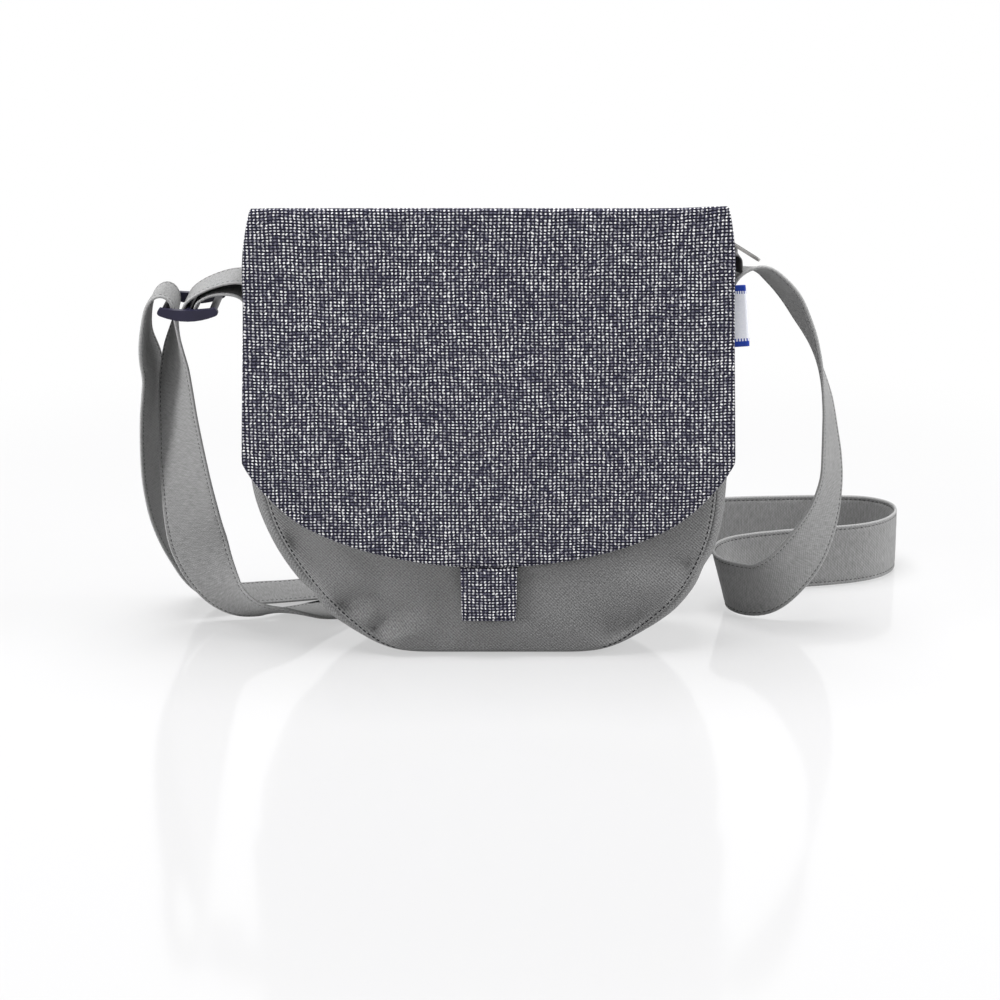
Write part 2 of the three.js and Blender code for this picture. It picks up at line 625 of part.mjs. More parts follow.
// The strap's route, chosen by hand: place, then direction across the strap
const STRAP_ROUTE = [
  [126.2, 0, 182, 0, -1, 0], [126.2, 0, 192, 0, -1, 0], [127.4, 0, 200, 0, -1, 0],
  [132, 0, 206, 0, -1, 0], [139, 0, 207.8, 0, -1, 0], [147, 0, 206, 0.05, -1, 0],
  [159, 0, 199, 0.2, -0.97, 0.1], [168, 1, 186.5, 0.3, -0.95, 0.2], [176, 3, 165, 0.2, -0.98, 0.1],
  [180.5, 7, 145, 0, -1, 0], [184.5, 12, 122, -0.2, -0.97, 0], [187.5, 18, 98, -0.35, -0.93, 0],
  [187.5, 24, 76, -0.5, -0.85, 0], [182, 29, 53, -0.65, -0.7, 0.15], [169, 33, 32, -0.6, -0.55, 0.5],
  [153, 35, 22, -0.3, -0.4, 0.85], [140, 38, 19, -0.1, -0.25, 0.96], [130.5, 46, 18.4, 0, 0, 1],
  [127.5, 57, 18.4, 0, 0, 1], [133, 67, 18.4, 0, 0, 1], [147, 72.5, 18.4, 0, 0, 1],
  [170, 74.5, 18.4, 0, 0, 1], [195, 76, 18.4, 0, 0, 1], [215, 82, 18.4, 0, 0, 1],
  [231, 95, 18.4, 0, 0, 1], [240, 113, 18.4, 0, 0, 1], [239, 130, 18.4, 0, 0, 1],
  [228, 141, 18.4, 0, 0, 1], [205, 144, 18.4, 0, 0, 1], [173, 143.5, 18.4, 0, 0, 1],
  [137, 141, 18.4, 0, 0, 1], [100, 134, 18.4, 0, 0, 1], [60, 122, 18.6, 0, -0.2, 0.98],
  [25, 108, 16, 0, -0.6, 0.8], [-10, 93, 9, 0, -0.95, 0.3], [-45, 77, 5.5, 0.1, -0.99, 0],
  [-80, 64, 6.5, 0, -1, 0], [-105, 56, 8.5, 0, -1, 0], [-125, 49, 12.5, 0.1, -0.99, 0],
  [-141, 42, 21, 0.35, -0.93, 0.1], [-152, 33, 40, 0.6, -0.78, 0.2], [-159, 25, 66, 0.8, -0.58, 0.1],
  [-161.5, 17, 100, 0.7, -0.7, 0], [-163.5, 10, 130, 0.5, -0.86, 0], [-165.3, 4, 155, 0.28, -0.96, 0],
  [-166, 1, 172, 0.05, -1, 0], [-166.3, 0, 186, 0, -1, 0], [-168, 0, 194, 0, -1, 0],
  [-173, 0, 197, 0, -1, 0], [-179, 0, 193, 0, -1, 0], [-183, 0, 182, 0, -1, 0],
  [-186, 2, 160, 0.1, -0.99, 0], [-187, 6, 130, 0.22, -0.97, 0], [-186.5, 12, 100, 0.35, -0.93, 0],
  [-184, 20, 70, 0.45, -0.88, 0], [-177, 30, 42, 0.5, -0.85, 0.1], [-165, 40, 20, 0.4, -0.9, 0.15],
  [-148, 47, 7.5, 0.15, -0.98, 0], [-125, 54, 2.6, 0, -1, 0], [-100, 60.5, 1.3, 0, -1, 0],
  [-70, 71, 1.3, 0.2, -0.97, 0], [-40, 83, 1.3, 0.3, -0.95, 0],
];

function addStrap() {
  const stops = STRAP_ROUTE.map(([x, y, z, ...across]) => stopAt(x, y, z, new THREE.Vector3(...across)));
  addPiece('strap', ribbon(stops, STRAP_WIDTH, STRAP_CLOTH, STRAP_STEPS_PER_POINT), GREY_TWILL, 0.9);
}

// A plain woven label, sewn into the seam between the right gusset and the front panel
function addLabel() {
  const x0 = BODY_HALF_WIDTH + CLEARANCE;
  const y0 = frontOutside(labelTopZ) - CLEARANCE;
  const z0 = labelTopZ - LABEL_LENGTH;
  const label = box(x0, x0 + LABEL_REACH, y0, y0 + LABEL_CLOTH, z0, labelTopZ);
  addPiece('label', label, LABEL_WHITE, 0.8);
}

addBody();
addLining();
addZipSide('front', -1);
addZipSide('rear', 1);
addZipStop();
addZipSlider();
addZipPuller();
addFlap();
addPullTab();
addSnap();
addSideTab();
addSlideBuckle();
addStrap();
addLabel();

export default model;
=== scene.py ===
# Crossbody bag: its soft cloth, seams and finishes. Sizes are in millimetres.
import math

import bpy
import numpy as np
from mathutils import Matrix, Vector, noise
from mathutils.geometry import delaunay_2d_cdt


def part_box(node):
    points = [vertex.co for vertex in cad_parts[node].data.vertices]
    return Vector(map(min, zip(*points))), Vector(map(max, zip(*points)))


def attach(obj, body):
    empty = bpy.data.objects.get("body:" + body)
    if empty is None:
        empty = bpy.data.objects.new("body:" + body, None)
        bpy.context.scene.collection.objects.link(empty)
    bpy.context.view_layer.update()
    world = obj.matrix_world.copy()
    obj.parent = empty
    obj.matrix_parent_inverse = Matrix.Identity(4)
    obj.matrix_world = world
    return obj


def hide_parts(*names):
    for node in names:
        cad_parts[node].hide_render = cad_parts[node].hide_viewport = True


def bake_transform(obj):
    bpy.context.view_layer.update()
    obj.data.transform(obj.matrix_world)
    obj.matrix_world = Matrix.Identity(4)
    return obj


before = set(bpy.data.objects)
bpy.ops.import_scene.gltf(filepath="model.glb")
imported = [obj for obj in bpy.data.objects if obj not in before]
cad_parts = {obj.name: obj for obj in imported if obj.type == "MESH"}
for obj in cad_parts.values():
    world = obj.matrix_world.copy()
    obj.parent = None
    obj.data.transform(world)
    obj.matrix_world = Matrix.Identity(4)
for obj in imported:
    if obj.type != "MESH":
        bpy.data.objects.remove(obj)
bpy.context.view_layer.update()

MM = 0.001

# Body of the bag
BODY_HALF_WIDTH = 125
CORNER_WIDTH = 87
CORNER_HEIGHT = 100
CORNER_SIDE_PULL = 47
CORNER_BASE_PULL = 52
BASE_DEPTH = 60
TOP_DEPTH = 32
PANEL_TOP_Z = 221
BACK_TOP_Z = 223.8
GUSSET_TOP_Z = 214.6
LINING_TOP_Z = 213
PANEL_CLOTH = 1.6
CLOTH_GAP = 0.3
PANEL_LEAN = (BASE_DEPTH - TOP_DEPTH) / 2 / PANEL_TOP_Z
PANEL_PUFF = 4.2
SEAM_SET_IN = 3.8
BASE_SEAM_SET_IN = 0.8
BODY_SAG = 5
BASE_ROLL_HEIGHT = 9
BASE_ROLL_DEPTH = 7
CORNER_SINK = 9.0
CORNER_SINK_AT = (-108, 34)
CORNER_SINK_REACH = 36
STITCH_FROM_SEAM = 1.5
SNAP_Z = 38

# Flap and pull tab
FLAP_STAND_OFF = 7.0
FLAP_TOP_Z = 245
FLAP_HALF_WIDTH = 130
FLAP_CREASE_HALF_WIDTH = 124.5
FLAP_SHOULDER_DROP = 40
FLAP_BOTTOM_Z = 52.5
FLAP_EDGE_HALF_AXIS = 134
FLAP_EDGE_DEPTH = 70.7
FLAP_CLOTH = 2.1
FLAP_CREASE_ROUND = 3.2
FLAP_START = (19.1, 226.2)
FLAP_ARCH_RISE = 10
FLAP_ARCH_SLOPE = 0.26
SEAM_LOW_Z = 195.8
SEAM_CLOTH = 1.2
TAB_HALF_WIDTHS = (15, 14)
TAB_TOP_Z = 55.5
TAB_BOTTOM_Z = 22.6
TAB_CLOTH = 1.5

# Strap, side tab and buckle
STRAP_WIDTH = 36
STRAP_CLOTH = 1.8
SIDE_TAB_CLOTH = 1.6
SIDE_TAB_TOP_Z = 200
SIDE_TAB_ROOT_DROP = 20
SIDE_TAB_LOWER_DROP = 9
SIDE_TAB_LIFTS = (10, 10.4)
STITCH_INSET = 2.4
STITCH_PITCH = 2.7
BUCKLE_X = -158
BUCKLE_Z = 188.5
BUCKLE_BAR_RADIUS = 2

# The strap's route: place, then direction across the strap
STRAP_ROUTE = np.array([
    [126.2, 0, 182, 0, -1, 0], [126.2, 0, 192, 0, -1, 0], [127.2, 0, 199, 0, -1, 0],
    [130.5, 0, 205, 0, -1, 0.05], [137, 0, 207.6, 0, -0.98, 0.2], [145, 0, 208, 0.08, -0.96, 0.27],
    [152.2, 0.5, 202, 0.18, -0.95, 0.25], [160, 1.5, 193, 0.23, -0.95, 0.2],
    [169.5, 3, 176, 0.17, -0.98, 0.1], [176, 5.5, 159.5, 0.03, -1, 0],
    [180, 8.5, 144.5, -0.12, -0.99, 0], [184, 12, 126.5, -0.25, -0.97, 0],
    [186.5, 15.5, 108.5, -0.34, -0.94, 0], [188, 19, 90.5, -0.42, -0.9, 0.03],
    [186.5, 21, 73.5, -0.52, -0.82, 0.1], [182, 22, 57, -0.64, -0.66, 0.25],
    [174, 21.5, 40, -0.68, -0.48, 0.5], [163, 21, 27.5, -0.52, -0.36, 0.75],
    [150.5, 23.5, 19, -0.38, -0.22, 0.9], [138.5, 29, 18.2, -0.32, -0.1, 0.94],
    [131.8, 39.5, 18.1, -0.28, -0.02, 0.96], [131.3, 52, 18.2, -0.22, 0.06, 0.97],
    [137, 63, 18.3, -0.12, 0.06, 0.99], [149, 71, 18.5, 0, 0, 1], [163, 76, 18.5, 0, 0, 1],
    [180, 80.5, 18.5, 0, 0, 1], [200, 84.5, 18.5, 0, 0, 1], [219, 91, 18.5, 0, 0, 1],
    [232.5, 101, 18.5, 0, 0, 1], [240, 115.5, 18.5, 0, 0, 1], [239, 131, 18.5, 0, 0, 1],
    [227.5, 141.5, 18.5, 0, 0, 1], [205, 145, 18.5, 0, 0, 1], [173, 144, 18.5, 0, 0, 1],
    [137, 141, 18.4, 0, 0, 1], [100, 134, 18.4, 0, 0, 1], [60, 122, 18.6, 0, -0.2, 0.98],
    [25, 109, 16, 0, -0.6, 0.8], [-10, 95, 8, 0, -0.95, 0.28], [-45, 77, 1.6, 0.4, -0.92, 0],
    [-60, 64.5, 1.5, 0.58, -0.81, 0], [-75, 51, 1.5, 0.62, -0.78, 0], [-90, 37.5, 2, 0.55, -0.83, 0.04],
    [-104, 25.5, 4.6, 0.4, -0.88, 0.17], [-117, 17, 8.6, 0.22, -0.9, 0.37],
    [-130, 13.5, 10.6, 0.28, -0.83, 0.48], [-146, 15.5, 19, 0.6, -0.62, 0.5],
    [-156, 17, 33.5, 0.76, -0.42, 0.5], [-161.5, 16, 50.5, 0.92, -0.26, 0.28],
    [-166, 11.5, 84.5, 0.82, -0.55, 0.15], [-168, 7.5, 116.5, 0.7, -0.7, 0.15],
    [-168.5, 5, 139.5, 0.58, -0.8, 0.2], [-168, 2.5, 160, 0.42, -0.88, 0.22],
    [-167, 1, 174, 0.2, -0.97, 0.1], [-166.3, 0, 186, 0, -1, 0], [-168, 0, 194, 0, -1, 0],
    [-173, 0, 197, 0, -1, 0], [-179, 0, 193, 0, -1, 0], [-182.5, 0, 182, 0, -1, 0],
    [-184, 3, 167, -0.05, -1, 0], [-182.5, 11, 149.5, -0.15, -0.98, 0],
    [-183.5, 19, 128, -0.25, -0.96, 0], [-184.5, 26, 106.5, -0.28, -0.95, 0],
    [-185, 32, 86.5, -0.27, -0.96, 0], [-183.5, 38, 61, -0.2, -0.97, 0.05],
    [-178, 43, 38, -0.08, -0.98, 0.08], [-168.5, 47, 19, 0, -0.99, 0.06],
    [-153.4, 52, 7.5, 0.05, -0.99, 0.03], [-127, 60, 4.4, 0, -1, 0], [-100, 67, 4.4, 0, -1, 0],
    [-70, 78, 4.6, 0.2, -0.97, 0], [-40, 90, 5.2, 0.3, -0.95, 0],
], float)


def put_in_scene(name, data):
    made = bpy.data.objects.new(name, data)
    bpy.context.scene.collection.objects.link(made)
    return made


def make_camera():
    elevation = math.radians(17.5)
    distance = 1.45
    pixels_per_metre = 1 / 0.000545
    aim = Vector((0.006, 0, 0.079))
    data = bpy.data.cameras.new("camera")
    data.sensor_width = 36
    data.lens = data.sensor_width * distance * pixels_per_metre / 1000
    camera = put_in_scene("camera", data)
    camera.location = aim + distance * Vector((0, -math.cos(elevation), math.sin(elevation)))
    camera.rotation_euler = (math.pi / 2 - elevation, 0, 0)
    bpy.context.scene.camera = camera


# Small helpers

def unit(rows):
    return rows / np.maximum(np.linalg.norm(rows, axis=-1, keepdims=True), 1e-9)


def ease(low, high, value):
    t = np.clip((value - low) / (high - low), 0, 1)
    return t * t * (3 - 2 * t)


def hump(value, width):
    return np.exp(-((value / width) ** 2))


def cubic(start, pull, push, end, t):
    """Place at share t along a smooth curve that two inner points draw towards them."""
    early = (1 - t) ** 3 * start + 3 * (1 - t) ** 2 * t * pull
    return early + 3 * (1 - t) * t * t * push + t ** 3 * end


def lengths_along(route):
    """Length from the start of a route to each of its places."""
    steps = np.linalg.norm(np.diff(route, axis=0), axis=1)
    return np.concatenate([[0], np.cumsum(steps)])


def rows_at(rows, length, where):
    """Rows along a route, read off at the given lengths."""
    return np.stack([np.interp(where, length, column) for column in rows.T], 1)


def grid_of(*parts):
    """Rows of x, y and z, or of less, from parts that are spread to one shape."""
    return np.stack(np.broadcast_arrays(*parts), -1)


def ripple(places, size, seed):
    """Smooth random values from -1 to 1 at places, with bumps of the given size."""
    flat = np.asarray(places, float).reshape(-1, 3)
    found = [noise.noise(Vector(p / size + seed)) for p in flat]
    return np.array(found).reshape(np.shape(places)[:-1])


def front_inside(z):
    return -BASE_DEPTH / 2 + PANEL_LEAN * z


def front_outside(z):
    return front_inside(z) - PANEL_CLOTH


def flap_outside(z):
    return front_outside(z) - FLAP_STAND_OFF


class Piece:
    """Collects parts of one mesh, each with its place on the cloth and its material."""

    def __init__(self):
        self.places, self.faces, self.cloth, self.slots = [], [], [], []

    def add(self, places, faces, cloth=None, slots=0):
        start = len(self.places)
        places = np.asarray(places, float).reshape(-1, 3)
        cloth = places[:, :2] if cloth is None else np.asarray(cloth, float).reshape(-1, 2)
        self.places.extend(places)
        self.cloth.extend(cloth)
        self.faces.extend([tuple(int(i) + start for i in face) for face in faces])
        self.slots.extend(slots if isinstance(slots, list) else [slots] * len(faces))

    def build(self, name, materials):
        mesh = bpy.data.meshes.new(name)
        mesh.from_pydata((np.array(self.places) * MM).tolist(), [], self.faces)
        layer = mesh.uv_layers.new(name="cloth")
        corners = np.zeros(len(mesh.loops), int)
        mesh.loops.foreach_get("vertex_index", corners)
        layer.uv.foreach_set("vector", np.array(self.cloth, np.float32)[corners].ravel())
        mesh.polygons.foreach_set("material_index", self.slots)
        mesh.polygons.foreach_set("use_smooth", [True] * len(mesh.polygons))
        for material in materials:
            mesh.materials.append(material)
        mesh.validate()
        mesh.update()
        return put_in_scene(name, mesh)


def grid_faces(rows, columns, start=0, flip=False):
    faces = []
    for r in range(rows - 1):
        for c in range(columns - 1):
            a = start + r * columns + c
            face = (a, a + columns, a + columns + 1, a + 1)
            faces.append(face[::-1] if flip else face)
    return faces


def grid_normals(grid):
    down = np.gradient(grid, axis=0)
    over = np.gradient(grid, axis=1)
    return unit(np.cross(down, over))


RIM_ROUND = 0.35
RIM_CLOTH_SHARE = 0.8


def rim_of(rows, columns):
    """Rows and columns of the places round a grid."""
    rim = [(0, c) for c in range(columns)] + [(r, columns - 1) for r in range(1, rows)]
    rim += [(rows - 1, c) for c in range(columns - 2, -1, -1)] + [(r, 0) for r in range(rows - 2, 0, -1)]
    return tuple(np.array(rim).T)


def thick_grid(piece, grid, cloth, thickness, slots=(0, 0)):
    """A closed sheet below a grid of places, with a rounded rim."""
    rows, columns = grid.shape[:2]
    deep = np.broadcast_to(np.asarray(thickness, float), (rows, columns))[..., None]
    inner = grid - grid_normals(grid) * deep
    rim = rim_of(rows, columns)
    beside = (np.clip(rim[0], 1, rows - 2), np.clip(rim[1], 1, columns - 2))
    outward = unit(grid[rim] - grid[beside])
    middle = (grid[rim] + inner[rim]) / 2 + outward * deep[rim] * RIM_ROUND
    total, cells = rows * columns, (rows - 1) * (columns - 1)
    faces = grid_faces(rows, columns) + grid_faces(rows, columns, total, True)
    outer_of = rim[0] * columns + rim[1]
    count = len(outer_of)
    for i in range(count):
        j = (i + 1) % count
        a, b = outer_of[i], outer_of[j]
        faces.append((a, b, 2 * total + j, 2 * total + i))
        faces.append((2 * total + i, 2 * total + j, b + total, a + total))
    kinds = [slots[0]] * cells + [slots[1]] * cells + [slots[0]] * (2 * count)
    places = np.concatenate([grid.reshape(-1, 3), inner.reshape(-1, 3), middle])
    rim_way = unit(cloth[rim] - cloth[beside])
    rim_cloth = cloth[rim] + rim_way * deep[rim] * RIM_CLOTH_SHARE
    on_cloth = np.concatenate([cloth.reshape(-1, 2), cloth.reshape(-1, 2), rim_cloth])
    piece.add(places, faces, on_cloth, kinds)


STITCH_FACES = [(0, 1, 5, 4), (1, 2, 6, 5), (2, 3, 7, 6), (3, 0, 4, 7)]
STITCH_FACES += [(8, 1, 0), (8, 2, 1), (8, 3, 2), (8, 0, 3), (9, 4, 5), (9, 5, 6), (9, 6, 7), (9, 7, 4)]
STITCH_BODY = 0.6
STITCH_END_SINK = 0.5


def add_stitches(piece, route, normal, slot, pitch=STITCH_PITCH, share=0.68, width=0.6, height=0.32):
    """A row of thread dashes along a route on a surface."""
    length = lengths_along(route)
    middles = np.arange(pitch / 2, length[-1], pitch)
    half = pitch * share / 2
    centre = rows_at(route, length, middles)
    up = unit(rows_at(normal, length, middles))
    along = unit(rows_at(route, length, middles + half) - rows_at(route, length, middles - half))
    side = unit(np.cross(up, along))
    for c, a, s, u in zip(centre, along, side, up):
        ring = [s * width / 2, u * height, -s * width / 2, -u * height]
        places = [c - a * half * STITCH_BODY + p for p in ring]
        places += [c + a * half * STITCH_BODY + p for p in ring]
        places += [c - a * half - u * height * STITCH_END_SINK, c + a * half - u * height * STITCH_END_SINK]
        piece.add(places, STITCH_FACES, None, slot)


# Strap and side tab

STOP_STEPS = 16
STRAP_WAVE_SIZE = 34.0
STRAP_WAVE_START = 60


def curve_through(stops):
    """Places on a smooth curve through the stops, and the direction across at each."""
    points = stops[:, :3]
    ends = np.vstack([2 * points[0] - points[1], points, 2 * points[-1] - points[-2]])
    found, across = [], []
    for t in np.linspace(0, len(points) - 1, (len(points) - 1) * STOP_STEPS + 1):
        i = min(int(t), len(points) - 2)
        u = t - i
        p0, p1, p2, p3 = ends[i:i + 4]
        d0, d1, d2 = (math.sqrt(np.linalg.norm(b - a)) for a, b in ((p0, p1), (p1, p2), (p2, p3)))
        m1 = d1 * ((p1 - p0) / d0 - (p2 - p0) / (d0 + d1) + (p2 - p1) / d1)
        m2 = d1 * ((p2 - p1) / d1 - (p3 - p1) / (d1 + d2) + (p3 - p2) / d2)
        found.append(p1 + u * m1 + u * u * (3 * (p2 - p1) - 2 * m1 - m2)
                     + u ** 3 * (2 * (p1 - p2) + m1 + m2))
        across.append((1 - u) * stops[i, 3:] + u * stops[i + 1, 3:])
    return np.array(found), np.array(across)


def smooth_route(stops, spacing, rounds):
    """Even places along the curve, the direction across at each, and the length up to each."""
    found, across = curve_through(stops)
    length = lengths_along(found)
    even = np.linspace(0, length[-1], int(length[-1] / spacing) + 1)
    places = rows_at(found, length, even)
    across = rows_at(across, length, even)
    for _ in range(rounds):
        places[1:-1] = (places[:-2] + 2 * places[1:-1] + places[2:]) / 4
        across[1:-1] = (across[:-2] + 2 * across[1:-1] + across[2:]) / 4
    return places, across, even


def strip_section(width, thickness):
    """Half of a folded and stitched strip's section: place across and height of the upper face."""
    half, thick = width / 2, thickness / 2
    groove = half - STITCH_INSET
    across = [-half, -half + 0.25, -half + 0.9, -groove - 0.7, -groove, -groove + 0.8, -groove + 2.2]
    height = [0, 0.62 * thick, thick, 0.92 * thick, 0.6 * thick, 0.9 * thick, thick]
    inner = list(np.linspace(-groove + 5, groove - 5, 7))
    across = across + inner + [-a for a in across[::-1]]
    height = height + [thick] * len(inner) + height[::-1]
    return np.array(across), np.array(height)


def tube_faces(rows, ring):
    """Faces round a tube of rings, with both ends closed."""
    faces = []
    for r in range(rows - 1):
        for c in range(ring):
            d = (c + 1) % ring
            faces.append((r * ring + c, r * ring + d, (r + 1) * ring + d, (r + 1) * ring + c))
    last = (rows - 1) * ring
    faces.append(tuple(range(ring))[::-1])
    faces.append(tuple(range(last, last + ring)))
    return faces


def make_strip(name, stops, width, thickness, spacing, materials, rounds=0, waver=0.0):
    """A flat stitched strip along a route; returns the object and its middle line."""
    middle, across, length = smooth_route(stops, spacing, rounds)
    along = unit(np.gradient(middle, axis=0))
    across = unit(across - along * (across * along).sum(1, keepdims=True))
    out = np.cross(along, across)
    section, height = strip_section(width, thickness)
    grown = np.minimum(1, length / STRAP_WAVE_START)[:, None]
    wave = waver * ripple(grid_of(length[:, None], section, 0.0), STRAP_WAVE_SIZE, 3.1) * grown
    flat = middle[:, None] + across[:, None] * section[None, :, None]
    upper = flat + out[:, None] * (wave + height)[..., None]
    lower = flat + out[:, None] * (wave - height)[..., None]
    loop = np.concatenate([upper, lower[:, -2:0:-1]], 1)
    cloth_across = np.concatenate([section, section[-2:0:-1]])
    piece = Piece()
    piece.add(loop, tube_faces(*loop.shape[:2]), grid_of(cloth_across, length[:, None]))
    groove = int(np.argmin(np.abs(section + width / 2 - STITCH_INSET)))
    for column in (groove, len(section) - 1 - groove):
        add_stitches(piece, upper[:, column], out, 1)
        add_stitches(piece, lower[:, column], -out, 1)
    return piece.build(name, materials), middle


def side_tab_stops():
    """The side tab's route: up from the gusset, round the buckle's middle bar and back."""
    wrap = BUCKLE_BAR_RADIUS + CLOTH_GAP + SIDE_TAB_CLOTH / 2
    inner = -BODY_HALF_WIDTH - CLOTH_GAP - SIDE_TAB_CLOTH / 2
    outer = inner - CLOTH_GAP - SIDE_TAB_CLOTH
    root = SIDE_TAB_TOP_Z - SIDE_TAB_ROOT_DROP
    low_end = SIDE_TAB_TOP_Z - SIDE_TAB_LOWER_DROP
    upper_lift, lower_lift = SIDE_TAB_LIFTS

    def bend(*corners):
        return [cubic(*np.array(corners, float), t) for t in np.linspace(0, 1, 9)]

    upper = bend((inner, SIDE_TAB_TOP_Z), (inner, SIDE_TAB_TOP_Z + upper_lift),
                 (BUCKLE_X - wrap, BUCKLE_Z + upper_lift), (BUCKLE_X - wrap, BUCKLE_Z))
    turn = [(BUCKLE_X + wrap * math.cos(a), BUCKLE_Z + wrap * math.sin(a))
            for a in np.linspace(math.pi, 2 * math.pi, 9)[1:]]
    lower = bend((BUCKLE_X + wrap, BUCKLE_Z), (BUCKLE_X + wrap, BUCKLE_Z + lower_lift),
                 (outer, low_end + lower_lift), (outer, low_end))[1:]
    route = [(inner, root), *upper, *turn, *lower, (outer, root)]
    return np.array([[x, 0, z, 0, -1, 0] for x, z in route], float)


# Procedural materials

class Nodes:
    """Builds a material's nodes with short calls."""

    def __init__(self, name, roughness, metallic=0.0, sheen=0.0, gloss=0.12):
        self.material = bpy.data.materials.new(name)
        self.material.use_nodes = True
        self.tree = self.material.node_tree
        self.shader = self.tree.nodes["Principled BSDF"]
        finish = {"Roughness": roughness, "Metallic": metallic, "Sheen Weight": sheen,
                  "Specular IOR Level": gloss, "Sheen Roughness": 0.6}
        for key, value in finish.items():
            self.shader.inputs[key].default_value = value

    def node(self, kind, **settings):
        made = self.tree.nodes.new(kind)
        for key, value in settings.items():
            setattr(made, key, value)
        return made

    def link(self, source, target):
        if isinstance(source, (int, float)):
            target.default_value = source
        else:
            self.tree.links.new(source, target)

    def feed(self, made, values):
        for value, socket in zip(values, made.inputs):
            self.link(value, socket)
        return made.outputs[0]

    def math(self, operation, a, b=0.0, c=0.0):
        return self.feed(self.node("ShaderNodeMath", operation=operation), (a, b, c))

    def plus(self, a, b):
        return self.math("ADD", a, b)

    def minus(self, a, b):
        return self.math("SUBTRACT", a, b)

    def times(self, a, b):
        return self.math("MULTIPLY", a, b)

    def scale_add(self, value, by, rest):
        return self.math("MULTIPLY_ADD", value, by, rest)

    def cloth(self):
        """Place on the cloth in millimetres, across and along."""
        uv = self.node("ShaderNodeUVMap", uv_map="cloth")
        parts = self.node("ShaderNodeSeparateXYZ")
        self.link(uv.outputs[0], parts.inputs[0])
        return uv.outputs[0], parts.outputs[0], parts.outputs[1]

    def combine(self, x, y, z=0.0):
        return self.feed(self.node("ShaderNodeCombineXYZ"), (x, y, z))

    def noise(self, vector, scale, detail=2.0):
        made = self.node("ShaderNodeTexNoise")
        self.link(vector, made.inputs["Vector"])
        made.inputs["Scale"].default_value = scale
        made.inputs["Detail"].default_value = detail
        return made.outputs["Fac"]

    def random(self, vector):
        made = self.node("ShaderNodeTexWhiteNoise", noise_dimensions="3D")
        self.link(vector, made.inputs["Vector"])
        return made.outputs["Value"]

    def step(self, value, low, high):
        made = self.node("ShaderNodeMapRange", interpolation_type="SMOOTHSTEP")
        self.link(value, made.inputs["Value"])
        self.link(low, made.inputs["From Min"])
        self.link(high, made.inputs["From Max"])
        return made.outputs["Result"]

    def mix(self, share, a, b):
        made = self.node("ShaderNodeMix", data_type="RGBA")
        self.link(share, made.inputs["Factor"])
        for value, socket in ((a, made.inputs["A"]), (b, made.inputs["B"])):
            if isinstance(value, tuple):
                socket.default_value = (*value, 1)
            else:
                self.link(value, socket)
        return made.outputs["Result"]

    def colour(self, value):
        self.link(value, self.shader.inputs["Base Color"])

    def bump(self, height, distance, strength=1.0):
        made = self.node("ShaderNodeBump")
        made.inputs["Strength"].default_value = strength
        made.inputs["Distance"].default_value = distance
        self.link(height, made.inputs["Height"])
        self.link(made.outputs[0], self.shader.inputs["Normal"])


def tint(shade, share):
    return tuple(share * s for s in shade)


TWEED_COLUMN_PITCH = 2.16
TWEED_ROW_PITCH = 1.67
TWEED_SKEW = 0.008
SLUB_SHIFT = 0.17
SLUB_SLANT = 0.75
SLUB_ROUNDNESS = 2.4


def tweed_cells(n, where, across, along):
    """Place in the weave, counted in columns and rows that waver, bow and drift a little."""
    drift = n.noise(where, 0.05, 1.0)
    waver = n.noise(where, 0.35, 1.0)
    bow = n.noise(where, 0.012, 1.0)
    skewed = n.scale_add(along, TWEED_SKEW, across)
    x = n.scale_add(waver, 0.35, n.math("DIVIDE", skewed, TWEED_COLUMN_PITCH))
    x = n.scale_add(bow, 1.6, x)
    y = n.scale_add(drift, 1.2, n.math("DIVIDE", along, TWEED_ROW_PITCH))
    return x, y


def tweed_slubs(n, x, y):
    """Share of pale thread at a place, its slub's brightness, and the place across its row."""
    column, row = n.math("FLOOR", x), n.math("FLOOR", y)
    half_row = n.math("FLOOR", n.plus(y, 0.5))

    def draw(line, kind):
        return n.random(n.combine(column, line, kind))

    chance = draw(row, 1.0)
    size = draw(row, 2.0)
    joined = draw(half_row, 3.0)
    bright = draw(row, 4.0)
    shift = n.minus(draw(row, 5.0), 0.5)
    slant = n.minus(draw(row, 6.0), 0.5)
    dx = n.minus(n.math("FRACT", x), 0.5)
    dy = n.minus(n.math("FRACT", y), 0.5)
    dx = n.scale_add(shift, SLUB_SHIFT, dx)
    dx = n.scale_add(n.times(slant, dy), SLUB_SLANT, dx)
    reach_x = n.scale_add(size, 0.14, 0.185)
    reach_y = n.scale_add(chance, 0.14, 0.21)
    round_x = n.math("POWER", n.math("ABSOLUTE", n.math("DIVIDE", dx, reach_x)), SLUB_ROUNDNESS)
    round_y = n.math("POWER", n.math("ABSOLUTE", n.math("DIVIDE", dy, reach_y)), SLUB_ROUNDNESS)
    slub = n.minus(1.0, n.step(n.plus(round_x, round_y), 0.7, 1.25))
    lean = n.times(n.minus(joined, 0.87), 1.6)
    link_x = n.math("ABSOLUTE", n.plus(dx, lean))
    beside = n.minus(1.0, n.step(link_x, 0.07, 0.2))
    link = n.times(beside, n.math("GREATER_THAN", joined, 0.8))
    return n.math("MAXIMUM", slub, n.times(link, 0.5)), bright, dy


